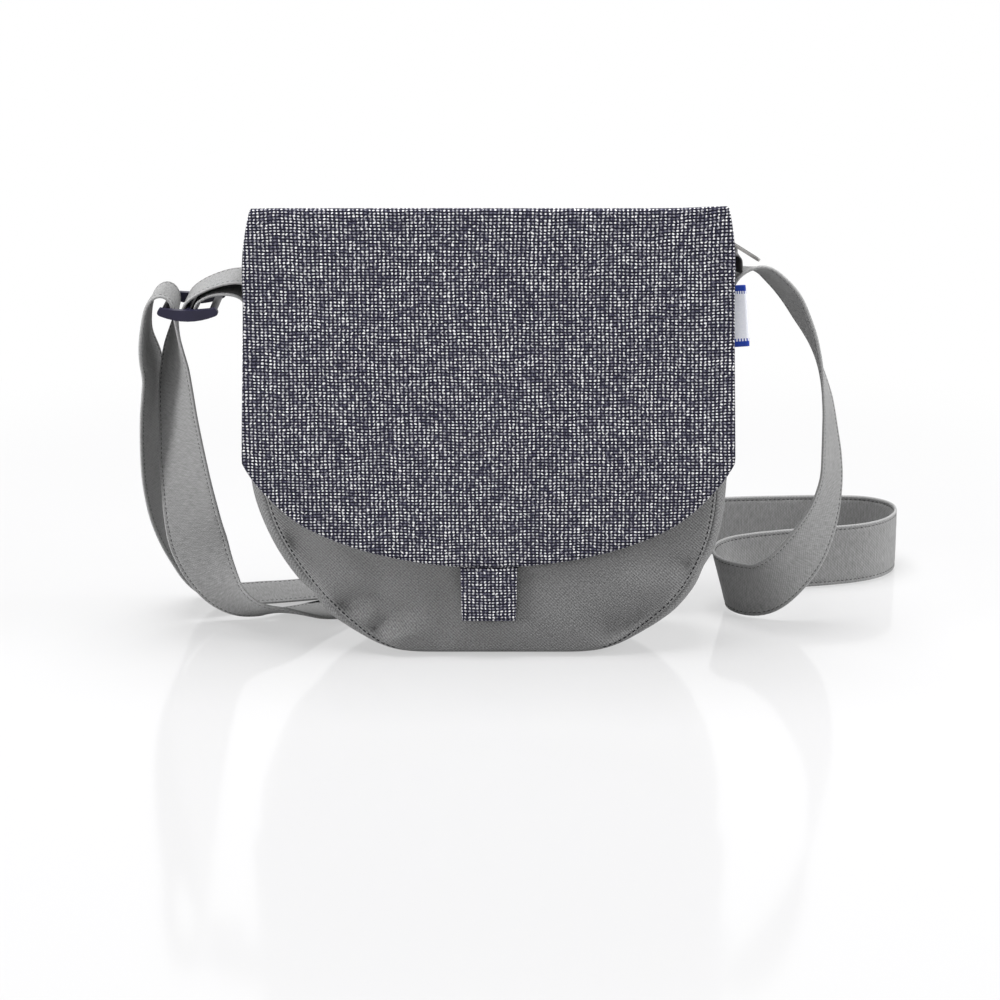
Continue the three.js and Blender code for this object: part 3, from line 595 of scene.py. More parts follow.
def tweed():
    """Dark navy cloth with a grid of pale slubs, uneven in size and brightness, and painted shade in the
    furrows between rows.
    """
    n = Nodes("tweed", 0.95, sheen=0.03, gloss=0.05)
    where, across, along = n.cloth()
    x, y = tweed_cells(n, where, across, along)
    slub, bright, dy = tweed_slubs(n, x, y)
    cluster = n.step(n.noise(where, 0.11, 2.0), 0.3, 0.7)
    level = n.scale_add(bright, 0.68, n.scale_add(cluster, 0.26, 0.1))
    pale = n.mix(n.step(level, 0.04, 0.98), (0.11, 0.108, 0.155), (0.94, 0.935, 0.95))
    # Painted shade: the furrows between rows are coloured nearly black, as shade in the grooves.
    furrow = n.step(n.math("ABSOLUTE", dy), 0.24, 0.45)
    fibre = n.noise(n.combine(n.times(across, 2.2), n.times(along, 1.1)), 1.0, 2.0)
    navy = n.mix(n.step(fibre, 0.35, 0.65), (0.009, 0.009, 0.016), (0.066, 0.064, 0.106))
    ground = n.mix(n.times(furrow, 0.9), navy, (0.003, 0.003, 0.005))
    n.colour(n.mix(slub, ground, pale))
    n.bump(n.minus(slub, n.times(furrow, 0.5)), 0.0004, 0.7)
    return n.material


TWILL_PITCH = 1.25


def twill(name, shade, edge_half=None):
    """Grey cotton with a fine diagonal rib; strips are a little paler along their folded edges, a painted
    highlight.
    """
    n = Nodes(name, 0.88, sheen=0.12)
    where, across, along = n.cloth()
    rib_share, fleck_share = (0.1, 1.5) if edge_half else (0.3, 2.2)
    grain_across, grain_scale = (0.2, 1.15) if edge_half else (1.0, 1.05)
    rib_turn = 2 * math.pi / TWILL_PITCH
    rib = n.math("SINE", n.times(n.plus(across, along), rib_turn * 0.7))
    weft = n.math("SINE", n.times(n.minus(across, along), rib_turn * 0.55))
    weave = n.scale_add(weft, 0.5, rib)
    grain = n.combine(n.times(across, grain_across), along)
    fleck = n.minus(n.noise(grain, grain_scale, 2.0), 0.5)
    cloud = n.minus(n.noise(where, 0.03, 2.0), 0.5)
    level = n.plus(n.times(weave, rib_share), n.times(fleck, fleck_share))
    level = n.plus(level, n.times(cloud, 0.3))
    if edge_half:
        # Painted highlight: the strip is made paler close to its folded edges, where light catches the
        # rounded fold.
        edge_highlight = n.step(n.math("ABSOLUTE", across), edge_half - 1.3, edge_half)
        level = n.plus(level, n.times(edge_highlight, 0.55))
    share = n.plus(0.5, n.times(level, 0.8))
    n.colour(n.mix(share, tint(shade, 0.6), tint(shade, 1.4)))
    n.bump(n.scale_add(weave, 3 * rib_share, fleck), 0.00015, 0.6)
    return n.material


def plain_cloth(name, shade, pitch=0.8):
    """A plain weave of fine threads."""
    n = Nodes(name, 0.9, sheen=0.1)
    where, across, along = n.cloth()
    turn = 2 * math.pi / pitch
    over = n.math("SINE", n.times(across, turn))
    under = n.math("SINE", n.times(along, turn))
    weave = n.times(over, under)
    fleck = n.noise(where, 0.5, 3.0)
    level = n.plus(n.times(weave, 0.22), fleck)
    n.colour(n.mix(level, tint(shade, 0.7), tint(shade, 1.3)))
    n.bump(weave, 0.0001, 0.6)
    return n.material


def thread(name, shade):
    n = Nodes(name, 0.7)
    where, _, _ = n.cloth()
    fibre = n.noise(where, 3.0, 2.0)
    n.colour(n.mix(fibre, tint(shade, 0.6), tint(shade, 1.4)))
    return n.material


def object_place(n):
    made = n.node("ShaderNodeTexCoord")
    return made.outputs["Object"]


def nickel():
    n = Nodes("nickel", 0.24, metallic=1.0, gloss=0.5)
    where = object_place(n)
    smear = n.noise(where, 300.0, 3.0)
    n.colour(n.mix(smear, (0.26, 0.25, 0.24), (0.44, 0.43, 0.42)))
    n.link(n.scale_add(smear, 0.2, 0.14), n.shader.inputs["Roughness"])
    n.bump(n.noise(where, 1800.0, 2.0), 0.00004, 0.3)
    return n.material


def buckle_plastic():
    n = Nodes("buckle_plastic", 0.38, gloss=0.3)
    where = object_place(n)
    grain = n.noise(where, 2600.0, 2.0)
    cloud = n.noise(where, 90.0, 2.0)
    n.colour(n.mix(cloud, (0.008, 0.007, 0.020), (0.018, 0.016, 0.040)))
    n.link(n.scale_add(cloud, 0.2, 0.28), n.shader.inputs["Roughness"])
    n.bump(grain, 0.00005, 0.4)
    return n.material


LABEL_LENGTH = 33
LABEL_BAND = 2.9
LABEL_TOOTH = 1.5


def label_cloth():
    """White woven label with a blue band at each end; the middle is bare."""
    n = Nodes("label_cloth", 0.6, sheen=0.2)
    where, across, along = n.cloth()
    from_middle = n.math("ABSOLUTE", n.minus(along, LABEL_LENGTH / 2))
    from_end = n.minus(LABEL_LENGTH / 2, from_middle)
    wave = n.math("SINE", n.times(across, 5.2))
    tooth = n.times(n.math("GREATER_THAN", wave, 0.2), LABEL_TOOTH)
    band = n.math("LESS_THAN", n.minus(from_end, tooth), LABEL_BAND)
    rib = n.math("SINE", n.times(along, 12.0))
    fleck = n.noise(where, 1.0, 2.0)
    white = n.mix(n.scale_add(rib, 0.25, fleck), (0.76, 0.78, 0.88), (0.95, 0.96, 1.0))
    blue = n.mix(fleck, (0.002, 0.02, 0.25), (0.006, 0.06, 0.46))
    n.colour(n.mix(band, white, blue))
    n.bump(rib, 0.00008, 0.6)
    return n.material


TWEED = tweed()
# The panels, gusset, strap and side tab are one grey cotton: its copy for the panels and gusset is painted
# darker, as painted shade, and its copy for the strap and side tab paler, as painted light.
TWILL = twill("twill", (0.185, 0.185, 0.186))
STRAP_TWILL = twill("strap_twill", (0.245, 0.245, 0.245), STRAP_WIDTH / 2)
LINING = plain_cloth("lining_cloth", (0.15, 0.15, 0.16))
TAPE = plain_cloth("zip_tape_cloth", (0.1, 0.098, 0.1), 1.0)
GREY_THREAD = thread("grey_thread", (0.042, 0.042, 0.044))
DARK_THREAD = thread("dark_thread", (0.014, 0.014, 0.016))
NICKEL = nickel()
BUCKLE_PLASTIC = buckle_plastic()
LABEL_CLOTH = label_cloth()


def make_strap():
    cloths = [STRAP_TWILL, GREY_THREAD]
    strap, middle = make_strip(
        "strap", STRAP_ROUTE, STRAP_WIDTH, STRAP_CLOTH, 2.0, cloths, rounds=4, waver=0.7)
    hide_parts("strap")
    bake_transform(strap)


def make_side_tab():
    cloths = [STRAP_TWILL, GREY_THREAD]
    tab, _ = make_strip("side_tab", side_tab_stops(), STRAP_WIDTH, SIDE_TAB_CLOTH, 0.9, cloths)
    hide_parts("side_tab")
    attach(tab, "bag")


# Flap

FLAP_CORNER_LIFT = 4
FLAP_CORNER_LIFT_X = (96, 128)
FLAP_DRAWN_Z = (100, 195, 245)
FLAP_DRAWN_RIGHT = (-0.8, 1.9, 1.0)
FLAP_DRAWN_LEFT = (-1.0, 2.0, 1.4)
FLAP_KICK_RIGHT = 2.4
FLAP_KICK_X = (86, 126)
FLAP_KICK_POWER = 1.3
FLAP_KICK_REACH = 26
FLAP_DROP_LEFT = 1.0
FLAP_DROP_X = (108, 126)
FLAP_SWELL = 0.9
FLAP_SWELL_SIZE = 70.0
FLAP_FLARE = 1.6
FLAP_FLARE_X = (60, 125)
FLAP_FLARE_Z = 118
FLAP_FLARE_REACH = 34
FLAP_FRONT_ROWS = 64
FLAP_SEAM_ROWS = 12
FLAP_STITCH_ROWS = (2, 5)
TAB_TUCK = 0.5
TAB_TUCK_RISE = 1.9
TAB_TUCK_Z = (48.5, 53.5)
TAB_CROWN = 0.35
TAB_WEAVE_SHIFT = 0.9
TAB_WEAVE_STRETCH = 1.02


def flap_back_profile():
    """Outer profile in Y and Z from the back seam over the top to just past the front crease."""
    seam_z = np.linspace(SEAM_LOW_Z, BACK_TOP_Z, 8)
    seam = [(-front_outside(z) + CLOTH_GAP + SEAM_CLOTH, z) for z in seam_z]
    crease = np.array([flap_outside(FLAP_TOP_Z), FLAP_TOP_Z])
    start = np.array(FLAP_START)
    span = start[0] - crease[0]
    rise = start + np.array([0, FLAP_ARCH_RISE])
    over = crease + np.array([span / 2, -FLAP_ARCH_SLOPE * span / 2])
    arch = [cubic(start, rise, over, crease, t) for t in np.linspace(0, 1, 40)]
    short_of_turn = FLAP_CREASE_ROUND + 0.3
    arch = [point for point in arch if np.linalg.norm(point - crease) > short_of_turn]
    direction = unit((over - crease)[None])[0]
    before = crease + direction * FLAP_CREASE_ROUND
    low_z = FLAP_TOP_Z - FLAP_CREASE_ROUND
    after = np.array([flap_outside(low_z), low_z])
    turn = [(1 - t) ** 2 * before + 2 * (1 - t) * t * crease + t * t * after for t in np.linspace(0, 1, 9)]
    return np.array([*seam, *arch, *turn])


def flap_half_width(z):
    drop = np.clip((FLAP_TOP_Z - z) / FLAP_SHOULDER_DROP, 0, 1)
    return FLAP_CREASE_HALF_WIDTH + (FLAP_HALF_WIDTH - FLAP_CREASE_HALF_WIDTH) * drop * (2 - drop)


def flap_side_half(z, side):
    """Half width on one side: the hung cloth has drawn in a little from its cut width."""
    drawn = FLAP_DRAWN_RIGHT if side > 0 else FLAP_DRAWN_LEFT
    return flap_half_width(z) - np.interp(z, FLAP_DRAWN_Z, drawn)


def flap_edge_z(x):
    return FLAP_BOTTOM_Z + FLAP_EDGE_DEPTH * (1 - np.sqrt(1 - (x / FLAP_EDGE_HALF_AXIS) ** 2))


def flap_grid():
    back = flap_back_profile()
    share = np.sin(np.linspace(-0.5, 0.5, 81) * math.pi)

    def row_at(y, z, width_z):
        half = np.where(share > 0, flap_side_half(width_z, 1), flap_side_half(width_z, -1))
        return grid_of(share * half, y, z)

    rows = [row_at(y, z, z if y < 0 else FLAP_TOP_Z) for y, z in back]
    top = back[-1, 1]
    lift = FLAP_CORNER_LIFT * ease(*FLAP_CORNER_LIFT_X, np.abs(share) * FLAP_HALF_WIDTH)
    edge = flap_edge_z(share * FLAP_HALF_WIDTH) + lift
    for t in np.linspace(0, 1, FLAP_FRONT_ROWS + 1)[1:]:
        z = top + (edge - top) * t
        rows.append(row_at(flap_outside(z), z, z))
    return np.array(rows), len(back)


def make_flap():
    grid, crease_row = flap_grid()
    step = np.linalg.norm(np.diff(grid, axis=0), axis=2)
    along = np.concatenate([np.zeros((1, grid.shape[1])), np.cumsum(step, axis=0)])
    along = along - along[crease_row][None]
    cloth = grid_of(grid[..., 0], -along)
    x, z = grid[..., 0].copy(), grid[..., 2].copy()
    front = ease(crease_row - 14, crease_row, np.arange(len(grid)))[:, None]
    near_top = hump(z - FLAP_TOP_Z, FLAP_KICK_REACH) * front
    kick = FLAP_KICK_RIGHT * ease(*FLAP_KICK_X, x) ** FLAP_KICK_POWER
    grid[..., 2] += near_top * (kick - FLAP_DROP_LEFT * ease(*FLAP_DROP_X, -x))
    swell = FLAP_SWELL * ripple(grid_of(x, 0.0, z), FLAP_SWELL_SIZE, 5.3) * front
    flare = FLAP_FLARE * ease(*FLAP_FLARE_X, np.abs(x)) * hump(z - FLAP_FLARE_Z, FLAP_FLARE_REACH) * front
    grid[..., 1] -= swell + flare
    thick = SEAM_CLOTH + (FLAP_CLOTH - SEAM_CLOTH) * ease(BACK_TOP_Z - 1, BACK_TOP_Z + 5, z)
    thick = np.where(np.arange(len(grid))[:, None] > FLAP_SEAM_ROWS, FLAP_CLOTH, thick)
    piece = Piece()
    thick_grid(piece, grid, cloth, thick, slots=(0, 1))
    normal = grid_normals(grid)
    for row in FLAP_STITCH_ROWS:
        add_stitches(piece, grid[row, 1:-1], normal[row, 1:-1], 2)
    flap = piece.build("flap", [TWEED, LINING, DARK_THREAD])
    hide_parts("flap_shell", "flap_lining", "flap_seam")
    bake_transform(flap)


def make_pull_tab():
    z_rows = np.linspace(TAB_TOP_Z, TAB_BOTTOM_Z, 22)
    share = np.linspace(-1, 1, 15)
    top_half, bottom_half = TAB_HALF_WIDTHS
    low = (TAB_TOP_Z - z_rows) / (TAB_TOP_Z - TAB_BOTTOM_Z)
    half = top_half + (bottom_half - top_half) * low
    tuck = TAB_TUCK + TAB_TUCK_RISE * ease(*TAB_TUCK_Z, z_rows)
    x, z = half[:, None] * share[None], z_rows[:, None]
    y = (flap_outside(z_rows) + tuck)[:, None] - TAB_CROWN * (1 - share[None] ** 2)
    grid = grid_of(x, y, z)
    cloth = grid_of(x + TAB_WEAVE_SHIFT, z * TAB_WEAVE_STRETCH)
    piece = Piece()
    thick_grid(piece, grid, cloth, TAB_CLOTH, slots=(0, 1))
    tab = piece.build("pull_tab", [TWEED, LINING])
    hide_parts("pull_tab", "pull_tab_backing")
    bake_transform(tab)


# Body: panels, gusset and lining

def corner_points(steps):
    """The right lower corner of the body's outline, from the side down to the base."""
    p0 = np.array([BODY_HALF_WIDTH, CORNER_HEIGHT])
    p1 = np.array([BODY_HALF_WIDTH, CORNER_HEIGHT - CORNER_SIDE_PULL])
    base_x = BODY_HALF_WIDTH - CORNER_WIDTH
    p2 = np.array([base_x + CORNER_BASE_PULL, 0])
    p3 = np.array([base_x, 0])
    t = np.linspace(0, 1, steps)[:, None]
    return cubic(p0, p1, p2, p3, t)


def body_path(top_z, spacing=4.0):
    """Even places down the right side, along the base and up the left side, with outward normals."""
    right = np.vstack([[BODY_HALF_WIDTH, top_z], corner_points(40)])
    whole = np.vstack([right, (right * [-1, 1])[::-1]])
    length = lengths_along(whole)
    even = np.linspace(0, length[-1], int(length[-1] / spacing) + 1)
    path = rows_at(whole, length, even)
    tangent = unit(np.gradient(path, axis=0))
    normal = np.stack([-tangent[:, 1], tangent[:, 0]], 1)
    return path, normal, even


RIM_INSETS = (0, 0.5, 1.1, 1.7, 2.3, 2.9, 3.6, 5, 7.5, 11)
PANEL_POINT_GAP = 6.0
PANEL_SHELL_SHARE = 0.8
PUFF_REACH = 22
PANEL_RIPPLE = 1.3
PANEL_RIPPLE_SIZE = 38.0
SEAM_RIPPLE = 1.3
SEAM_RIPPLE_SIZE = 9.0
SEAM_RIPPLE_REACH = 8
SEAM_TURN = 1.2
STITCH_GROOVE = 0.4
SNAP_FLAT_REACH = 15
FRONT_FLAT_Z = (110, 215)
BACK_FLAT_Z = (150, 192)


def path_distance(points, path):
    """Distance from each point to the nearest place on a path."""
    best = np.full(len(points), 1e9)
    for p, q in zip(path[:-1], path[1:]):
        d = q - p
        t = np.clip(((points - p) @ d) / max(d @ d, 1e-9), 0, 1)
        best = np.minimum(best, np.linalg.norm(points - p - t[:, None] * d, axis=1))
    return best


def fold(points, start, end, width, depth):
    """A soft valley along a line that fades out at its ends."""
    a, b = np.array(start, float), np.array(end, float)
    d = b - a
    t = ((points - a) @ d) / (d @ d)
    gap = np.linalg.norm(points - a - np.clip(t, 0, 1)[:, None] * d, axis=1)
    return depth * hump(gap, width) * ease(-0.15, 0.25, t) * (1 - ease(0.75, 1.15, t))


# Folds: start and end of the line, its width and its depth
FRONT_FOLDS = (
    ((-90, 25), (-58, 36), 5.5, 5.0), ((-97, 33), (-70, 50), 10, -3.0), ((-72, 8), (-46, 31), 5.5, 5.0),
    ((-64, 7), (-34, 22), 7, -2.4), ((-112, 62), (-94, 68), 5, 2.4), ((-46, 24), (-22, 36), 15, 2.4),
    ((88, 24), (52, 14), 8, 4.2), ((98, 40), (66, 42), 12, -2.8), ((108, 50), (90, 56), 4.5, 2.6),
    ((-26, 9), (34, 8), 6, 1.0),
)
BACK_FOLDS = (
    ((-96, 40), (-40, 70), 14, 1.8), ((96, 34), (50, 60), 13, 1.8), ((-30, 120), (40, 112), 20, 1.2),
)


def seam_set_in(normal):
    """How far the seam lies in from the body's outline: less where it turns under the base."""
    under = ease(0.8, 0.99, -normal[:, 1])
    return SEAM_SET_IN + (BASE_SEAM_SET_IN - SEAM_SET_IN) * under


def seam_path(top_z):
    """The sewn edge of a panel, set in from the gusset's swell."""
    path, normal, _ = body_path(top_z)
    return path - normal * seam_set_in(normal)[:, None], normal


def sag(z):
    """The soft body leans a little to the right near its base."""
    return BODY_SAG * (1 - ease(25, 115, z))


def base_roll(z):
    """How far a panel turns back under the bag close to the base."""
    low = np.clip((BASE_ROLL_HEIGHT - z) / BASE_ROLL_HEIGHT, 0, 1)
    return BASE_ROLL_DEPTH * (1 - np.sqrt(1 - 0.96 * low ** 2))


def corner_sink(x, z):
    """The soft left corner is pinched thinner than the rest of the body."""
    return CORNER_SINK * hump(np.hypot(x - CORNER_SINK_AT[0], z - CORNER_SINK_AT[1]), CORNER_SINK_REACH)


def panel_points(top_z):
    """Places over a panel: rings close to the sewn edge, then a plain grid."""
    path, normal = seam_path(top_z)
    points = [path - normal * inset for inset in RIM_INSETS]
    gap = PANEL_POINT_GAP
    grid = np.array([(x, z) for x in np.arange(-114, 114.1, gap) for z in np.arange(4, top_z - 2, gap)])
    inside = path_distance(grid, path) > RIM_INSETS[-1] + gap * 0.5
    corner = corner_points(60)[::-1] - [SEAM_SET_IN, 0]
    low = np.abs(grid[:, 0]) < np.interp(grid[:, 1], corner[:, 1], corner[:, 0])
    points.append(grid[inside & low])
    top_row = np.arange(-108, 108.1, gap)
    points.append(np.stack([top_row, np.full_like(top_row, top_z)], 1))
    return np.vstack(points), path


def panel_outside(places, path, side, folds):
    """Y of a panel's outer face, which swells from its sewn edge and has its folds and stitched groove."""
    x, z = places[:, 0], places[:, 1]
    far = path_distance(places, path)
    spots = grid_of(x, z, 0.0)
    puff = PANEL_PUFF * (1 - np.exp(-far / PUFF_REACH))
    puff = puff + PANEL_RIPPLE * ripple(spots, PANEL_RIPPLE_SIZE, 2.0 + side) * ease(2, 20, far)
    pucker = SEAM_RIPPLE * ripple(spots, SEAM_RIPPLE_SIZE, 6.0 + side)
    puff = puff + pucker * np.exp(-far / SEAM_RIPPLE_REACH) * ease(0.5, 4, far)
    flat_z = FRONT_FLAT_Z if side < 0 else BACK_FLAT_Z
    puff = puff * (1 - ease(*flat_z, z))
    for line in folds:
        puff = puff - fold(places, *line) * ease(0.6, 5, far)
    if side < 0:
        from_snap = np.hypot(x + sag(z), z - SNAP_Z)
        puff = puff * (1 - hump(from_snap, SNAP_FLAT_REACH))
    turned = SEAM_TURN * hump(far, 0.9)
    groove = STITCH_GROOVE * hump(far - STITCH_FROM_SEAM, 0.7)
    sunk = base_roll(z) + corner_sink(x, z)
    return side * (-front_outside(z) + puff - turned - groove - sunk)


def closed_shell(triangles, count):
    """Faces of a sheet and of its back, which starts count places later, joined along the border."""
    shell = triangles + [tuple(i + count for i in f[::-1]) for f in triangles]
    edges = [(a, b) for f in triangles for a, b in zip(f, f[1:] + f[:1])]
    known = set(edges)
    return shell + [(b, a, a + count, b + count) for a, b in edges if (b, a) not in known]


def sew_panel(piece, top_z, side, folds):
    """A row of stitches beside the seam, left out under the base."""
    path, normal = seam_path(top_z)
    line = path - normal * STITCH_FROM_SEAM
    y = panel_outside(line, path, side, folds) + side * 0.1
    route = grid_of(line[:, 0] + sag(line[:, 1]), y, line[:, 1])
    seen = np.flatnonzero(line[:, 1] > BASE_SEAM_SET_IN + STITCH_FROM_SEAM + 1)
    for run in np.split(seen, np.flatnonzero(np.diff(seen) > 1) + 1):
        up = np.tile([0.0, side, 0.0], (len(run) - 2, 1))
        add_stitches(piece, route[run[1:-1]], up, 1, pitch=3.0, share=0.72, width=0.75)


def make_panel(name, top_z, side, folds):
    """A front (side -1) or back (side 1) panel that swells from its sewn edge."""
    points, path = panel_points(top_z)
    ring = len(path)
    edges = [(i, i + 1) for i in range(ring - 1)] + [(ring - 1, 0)]
    found, _, faces, _, _, _ = delaunay_2d_cdt([Vector(p) for p in points], edges, [], 1, 1e-5)
    flat = np.array([tuple(p) for p in found])
    y = panel_outside(flat, path, side, folds)
    outer = grid_of(flat[:, 0] + sag(flat[:, 1]), y, flat[:, 1])
    inner = outer - [0, side * PANEL_CLOTH * PANEL_SHELL_SHARE, 0]
    triangles = [tuple(f) if side < 0 else tuple(f)[::-1] for f in faces]
    piece = Piece()
    piece.add(np.vstack([outer, inner]), closed_shell(triangles, len(outer)), np.vstack([flat, flat]))
    sew_panel(piece, top_z, side, folds)
    panel = piece.build(name, [TWILL, DARK_THREAD])
    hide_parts(name)
    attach(panel, "bag")


GUSSET_SHARES = (0.1, 0.3, 0.5, 0.64, 0.74, 0.82, 0.88, 0.93, 0.97, 1)
GUSSET_EDGE = 0.3
GUSSET_SWELL = 1.8
GUSSET_RIPPLE = 1.1
GUSSET_RIPPLE_SIZE = 26.0
GUSSET_DRAWN_IN = 2.6
GUSSET_DRAWN_Z = (110, 190)

# Pinches in the gusset: height, width and depth
LEFT_PINCH = (31, 5, 1.8)
RIGHT_PINCH = (48, 6, 1.2)


def gusset_pinch(height, at, width, depth):
    return -depth * hump(height - at, width)


def gusset_out(height, left, share, normal, spots):
    """How far the gusset stands out of the body's outline: turned in at its seams, full between them."""
    edge = np.clip((np.abs(share) - (1 - GUSSET_EDGE)) / GUSSET_EDGE, 0, 1)
    turned_in = -seam_set_in(normal)[:, None] * (1 - np.sqrt(1 - 0.98 * edge ** 2))[None]
    middle = 1 - share[None] ** 2
    swell = PANEL_CLOTH * (1 - edge)[None] + GUSSET_SWELL * middle
    swell = swell + GUSSET_RIPPLE * ripple(spots, GUSSET_RIPPLE_SIZE, 8.0) * (0.35 + middle)
    swell = swell * ease(3, 26, height)
    drawn_in = -GUSSET_DRAWN_IN * middle * ease(*GUSSET_DRAWN_Z, height)
    pinch = np.where(left, gusset_pinch(height, *LEFT_PINCH), gusset_pinch(height, *RIGHT_PINCH))
    return turned_in + swell + drawn_in + pinch


def make_gusset():
    path, normal, length = body_path(GUSSET_TOP_Z, 3.5)
    half_share = np.array(GUSSET_SHARES)
    share = np.concatenate([-half_share[::-1], half_share])
    depth = -front_inside(path[:, 1]) - CLOTH_GAP - base_roll(path[:, 1] + BASE_SEAM_SET_IN)
    depth = depth - corner_sink(path[:, 0], path[:, 1])
    y = depth[:, None] * share[None]
    x, z = path[:, 0][:, None], path[:, 1][:, None]
    out = gusset_out(z, x < 0, share, normal, grid_of(length[:, None], y, 0.0))
    wide = x + normal[:, 0][:, None] * out + sag(z)
    high = np.maximum(z + normal[:, 1][:, None] * out, 0.0)
    piece = Piece()
    thick_grid(piece, grid_of(wide, y, high), grid_of(y, length[:, None]), PANEL_CLOTH)
    gusset = piece.build("gusset", [TWILL])
    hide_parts("gusset")
    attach(gusset, "bag")


LINING_CLOTH = 0.8
LINING_SIDE_ROOM = 3.0
LINING_BASE_ROOM = 3.2
LINING_DEPTH_ROOM = 2.2
LINING_SQUARENESS = 0.35
LINING_WALL_ROWS = 10
LINING_FLOOR_SHARES = (0.5, 0.05, 1)


def square_off(value):
    return np.sign(value) * np.abs(value) ** LINING_SQUARENESS


def make_lining():
    """A loose pouch inside the bag, open at the top."""
    corner = corner_points(24)[::-1]
    wall = np.linspace(CORNER_HEIGHT + 10, LINING_TOP_Z, LINING_WALL_ROWS)
    heights = np.concatenate([corner[:, 1] + LINING_BASE_ROOM, wall])
    wall_half = np.full(LINING_WALL_ROWS, BODY_HALF_WIDTH - LINING_SIDE_ROOM)
    half = np.concatenate([corner[:, 0] - LINING_SIDE_ROOM, wall_half])
    angle = np.linspace(0, 2 * math.pi, 49)
    z = heights[:, None]
    x = half[:, None] * square_off(np.cos(angle))[None] + sag(z)
    depth = np.maximum(-front_inside(z) - LINING_DEPTH_ROOM - corner_sink(x, z), 0)
    grid = grid_of(x, depth * square_off(np.sin(angle))[None], z)
    grid = np.concatenate([grid[:1] * LINING_FLOOR_SHARES, grid])
    cloth = grid_of(grid[..., 0] + grid[..., 1], grid[..., 2])
    piece = Piece()
    thick_grid(piece, grid, cloth, LINING_CLOTH)
    lining = piece.build("lining", [LINING])
    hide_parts("lining")
    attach(lining, "bag")


# Zip, label and hard pieces

ZIP_Z = 218
TAPE_Y = (6.6, 15.7)
TAPE_LEFT_X = -121.5
TAPE_BEND_X = 129.5
TAPE_BEND_RADIUS = 3
TAPE_CLOTH = 0.8
TAPE_TAIL_Z = 208
TAPE_TAIL_SHIFT = 2.8
TAPE_TAIL_SPREAD = 3.6
TAPE_WAVE = 0.25
TAPE_WAVE_LENGTH = 17


def make_zip_tape(name, side):
    flat_x = np.linspace(TAPE_LEFT_X, TAPE_BEND_X, 70)
    radius = TAPE_BEND_RADIUS
    turn = [(TAPE_BEND_X + radius * math.sin(a), ZIP_Z - radius + radius * math.cos(a))
            for a in np.linspace(0, math.pi / 2, 7)[1:]]
    tail = [(TAPE_BEND_X + radius, z) for z in np.linspace(ZIP_Z - radius - 1, TAPE_TAIL_Z, 5)]
    route = np.array([*[(x, ZIP_Z) for x in flat_x], *turn, *tail])
    share = np.linspace(0, 1, 9)
    y = side * (TAPE_Y[0] + (TAPE_Y[1] - TAPE_Y[0]) * share)
    length = lengths_along(route)
    hanging = ease(ZIP_Z, ZIP_Z - 5, route[:, 1])[:, None]
    x = route[:, 0][:, None] + hanging * (TAPE_TAIL_SPREAD * share[None] - TAPE_TAIL_SHIFT)
    wave = TAPE_WAVE * np.sin(length / TAPE_WAVE_LENGTH)[:, None] * share[None]
    z = route[:, 1][:, None] + TAPE_CLOTH / 2 + wave
    grid, cloth = grid_of(x, y, z), grid_of(y, length[:, None])
    if side < 0:
        grid, cloth = grid[:, ::-1], cloth[:, ::-1]
    piece = Piece()
    thick_grid(piece, grid, cloth, TAPE_CLOTH)
    tape = piece.build(name, [TAPE])
    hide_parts(name)
    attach(tape, "bag")


LABEL_CLOTH_THICKNESS = 0.8
LABEL_GAP = 0.2
LABEL_LOW_WIDTH = 1.3
LABEL_TAPER = 0.34
LABEL_BOW = 1.4
LABEL_CURL = 0.5
LABEL_SLANT = 0.5


def make_label():
    low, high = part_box("label")
    x0, x1 = low.x / MM, high.x / MM
    z0, z1 = low.z / MM, high.z / MM
    across = np.linspace(0, 1, 10)[None]
    up = np.linspace(0, 1, 24)[:, None]
    x = x0 + (x1 - x0) * across * (LABEL_LOW_WIDTH - LABEL_TAPER * up)
    bow = LABEL_BOW * across ** 2 * (0.6 - up)
    y = low.y / MM - LABEL_GAP + bow - LABEL_CURL * np.sin(up * 3)
    z = z0 + (z1 - z0) * up + LABEL_SLANT * across
    grid = grid_of(x, y, z)
    cloth = grid_of(across * (x1 - x0), up * LABEL_LENGTH)
    piece = Piece()
    thick_grid(piece, grid[::-1], cloth[::-1], LABEL_CLOTH_THICKNESS)
    label = piece.build("label", [LABEL_CLOTH])
    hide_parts("label")
    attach(label, "bag")


def dress_hard_pieces():
    for node in ("zip_teeth_front", "zip_teeth_rear", "zip_stop", "zip_slider", "zip_puller",
                 "snap_socket", "snap_stud", "slide_buckle"):
        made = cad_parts[node]
        plastic = node == "slide_buckle"
        made.data.materials.clear()
        made.data.materials.append(BUCKLE_PLASTIC if plastic else NICKEL)
        soften = made.modifiers.new("soften", "BEVEL")
        soften.width = (0.7 if plastic else 0.25) * MM
        soften.segments = 3 if plastic else 2
        soften.limit_method = "ANGLE"
        soften.angle_limit = math.radians(40)


# Floor and light, in metres

FLOOR_HALF = 6
FLOOR_Z = -0.0004


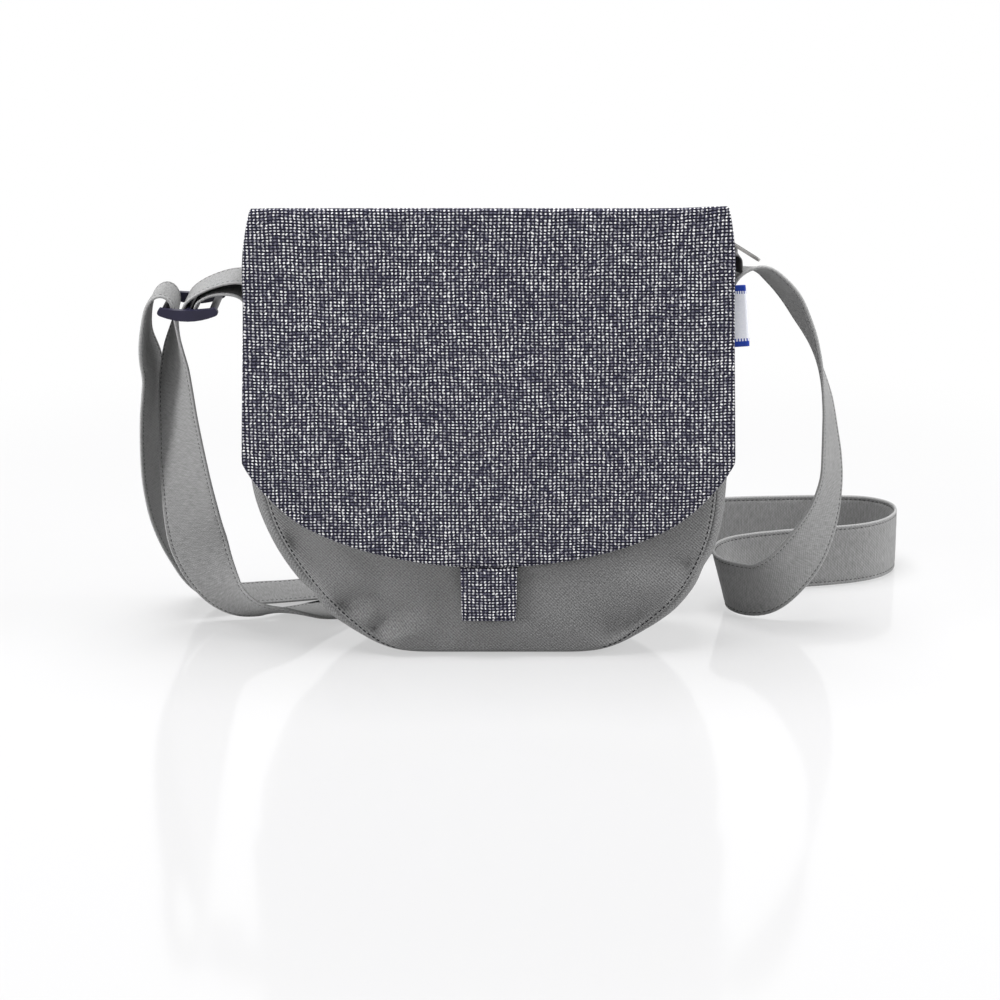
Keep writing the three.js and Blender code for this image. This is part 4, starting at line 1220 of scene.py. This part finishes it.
def make_floor():
    """A glossy white floor that takes the shadow near the bag and turns plain white away from it."""
    n = Nodes("floor_white", 0.1, gloss=1.0)
    place = n.node("ShaderNodeNewGeometry").outputs["Position"]
    flat = n.node("ShaderNodeVectorMath", operation="LENGTH")
    n.link(place, flat.inputs[0])
    white = n.node("ShaderNodeEmission")
    mixed = n.node("ShaderNodeMixShader")
    ray = n.node("ShaderNodeLightPath")
    seen = n.math("MAXIMUM", ray.outputs["Is Camera Ray"], ray.outputs["Is Glossy Ray"])
    n.colour(n.mix(seen, (0.5, 0.5, 0.5), (0.56, 0.558, 0.566)))
    away = n.scale_add(n.step(flat.outputs["Value"], 0.34, 0.66), 0.5, 0.5)
    n.link(n.times(away, seen), mixed.inputs[0])
    n.link(n.shader.outputs[0], mixed.inputs[1])
    n.link(white.outputs[0], mixed.inputs[2])
    n.link(mixed.outputs[0], n.tree.nodes["Material Output"].inputs["Surface"])
    mesh = bpy.data.meshes.new("floor")
    signs = ((-1, -1), (1, -1), (1, 1), (-1, 1))
    corners = [(FLOOR_HALF * x, FLOOR_HALF * y, FLOOR_Z) for x, y in signs]
    mesh.from_pydata(corners, [], [(0, 1, 2, 3)])
    mesh.materials.append(n.material)
    put_in_scene("floor", mesh)


def add_lamp(name, place, aim, size, power):
    data = bpy.data.lights.new(name, "AREA")
    data.shape = "RECTANGLE"
    data.size, data.size_y = size
    data.energy = power
    lamp = put_in_scene(name, data)
    lamp.location = place
    lamp.rotation_euler = (Vector(aim) - Vector(place)).to_track_quat("-Z", "Y").to_euler()


def make_lamps():
    add_lamp("left", (-1.6, -0.5, 0.35), (0, 0, 0.1), (0.5, 0.5), 20)
    add_lamp("right", (1.6, -0.3, 0.7), (0, 0, 0.1), (0.8, 1.1), 25)
    add_lamp("top", (-0.1, 0.0, 1.75), (0, 0, 0), (1.3, 1.1), 44)
    add_lamp("front", (-0.9, -2.0, 1.1), (0, 0, 0.1), (1.0, 1.0), 4)


def make_world():
    """Plain white where it is seen or mirrored, and a faint even light otherwise."""
    world = bpy.data.worlds.new("studio")
    bpy.context.scene.world = world
    world.use_nodes = True
    nodes, links = world.node_tree.nodes, world.node_tree.links
    soft = nodes["Background"]
    bright = nodes.new("ShaderNodeBackground")
    for shade, strength in ((soft, 0.1), (bright, 1.0)):
        shade.inputs["Color"].default_value = (1, 1, 1, 1)
        shade.inputs["Strength"].default_value = strength
    path = nodes.new("ShaderNodeLightPath")
    seen = path.outputs["Is Camera Ray"]
    for kind in ("Is Glossy Ray", "Is Transmission Ray"):
        either = nodes.new("ShaderNodeMath")
        either.operation = "MAXIMUM"
        links.new(seen, either.inputs[0])
        links.new(path.outputs[kind], either.inputs[1])
        seen = either.outputs[0]
    mixed = nodes.new("ShaderNodeMixShader")
    for source, socket in zip((seen, soft.outputs[0], bright.outputs[0]), mixed.inputs):
        links.new(source, socket)
    links.new(mixed.outputs[0], nodes["World Output"].inputs[0])


make_camera()
make_strap()
make_side_tab()
make_flap()
make_pull_tab()
make_panel("front_panel", PANEL_TOP_Z, -1, FRONT_FOLDS)
make_panel("back_panel", BACK_TOP_Z, 1, BACK_FOLDS)
make_gusset()
make_lining()
make_zip_tape("zip_tape_front", -1)
make_zip_tape("zip_tape_rear", 1)
make_label()
dress_hard_pieces()
make_floor()
make_lamps()
make_world()
bpy.context.scene.view_settings.view_transform = "Standard"
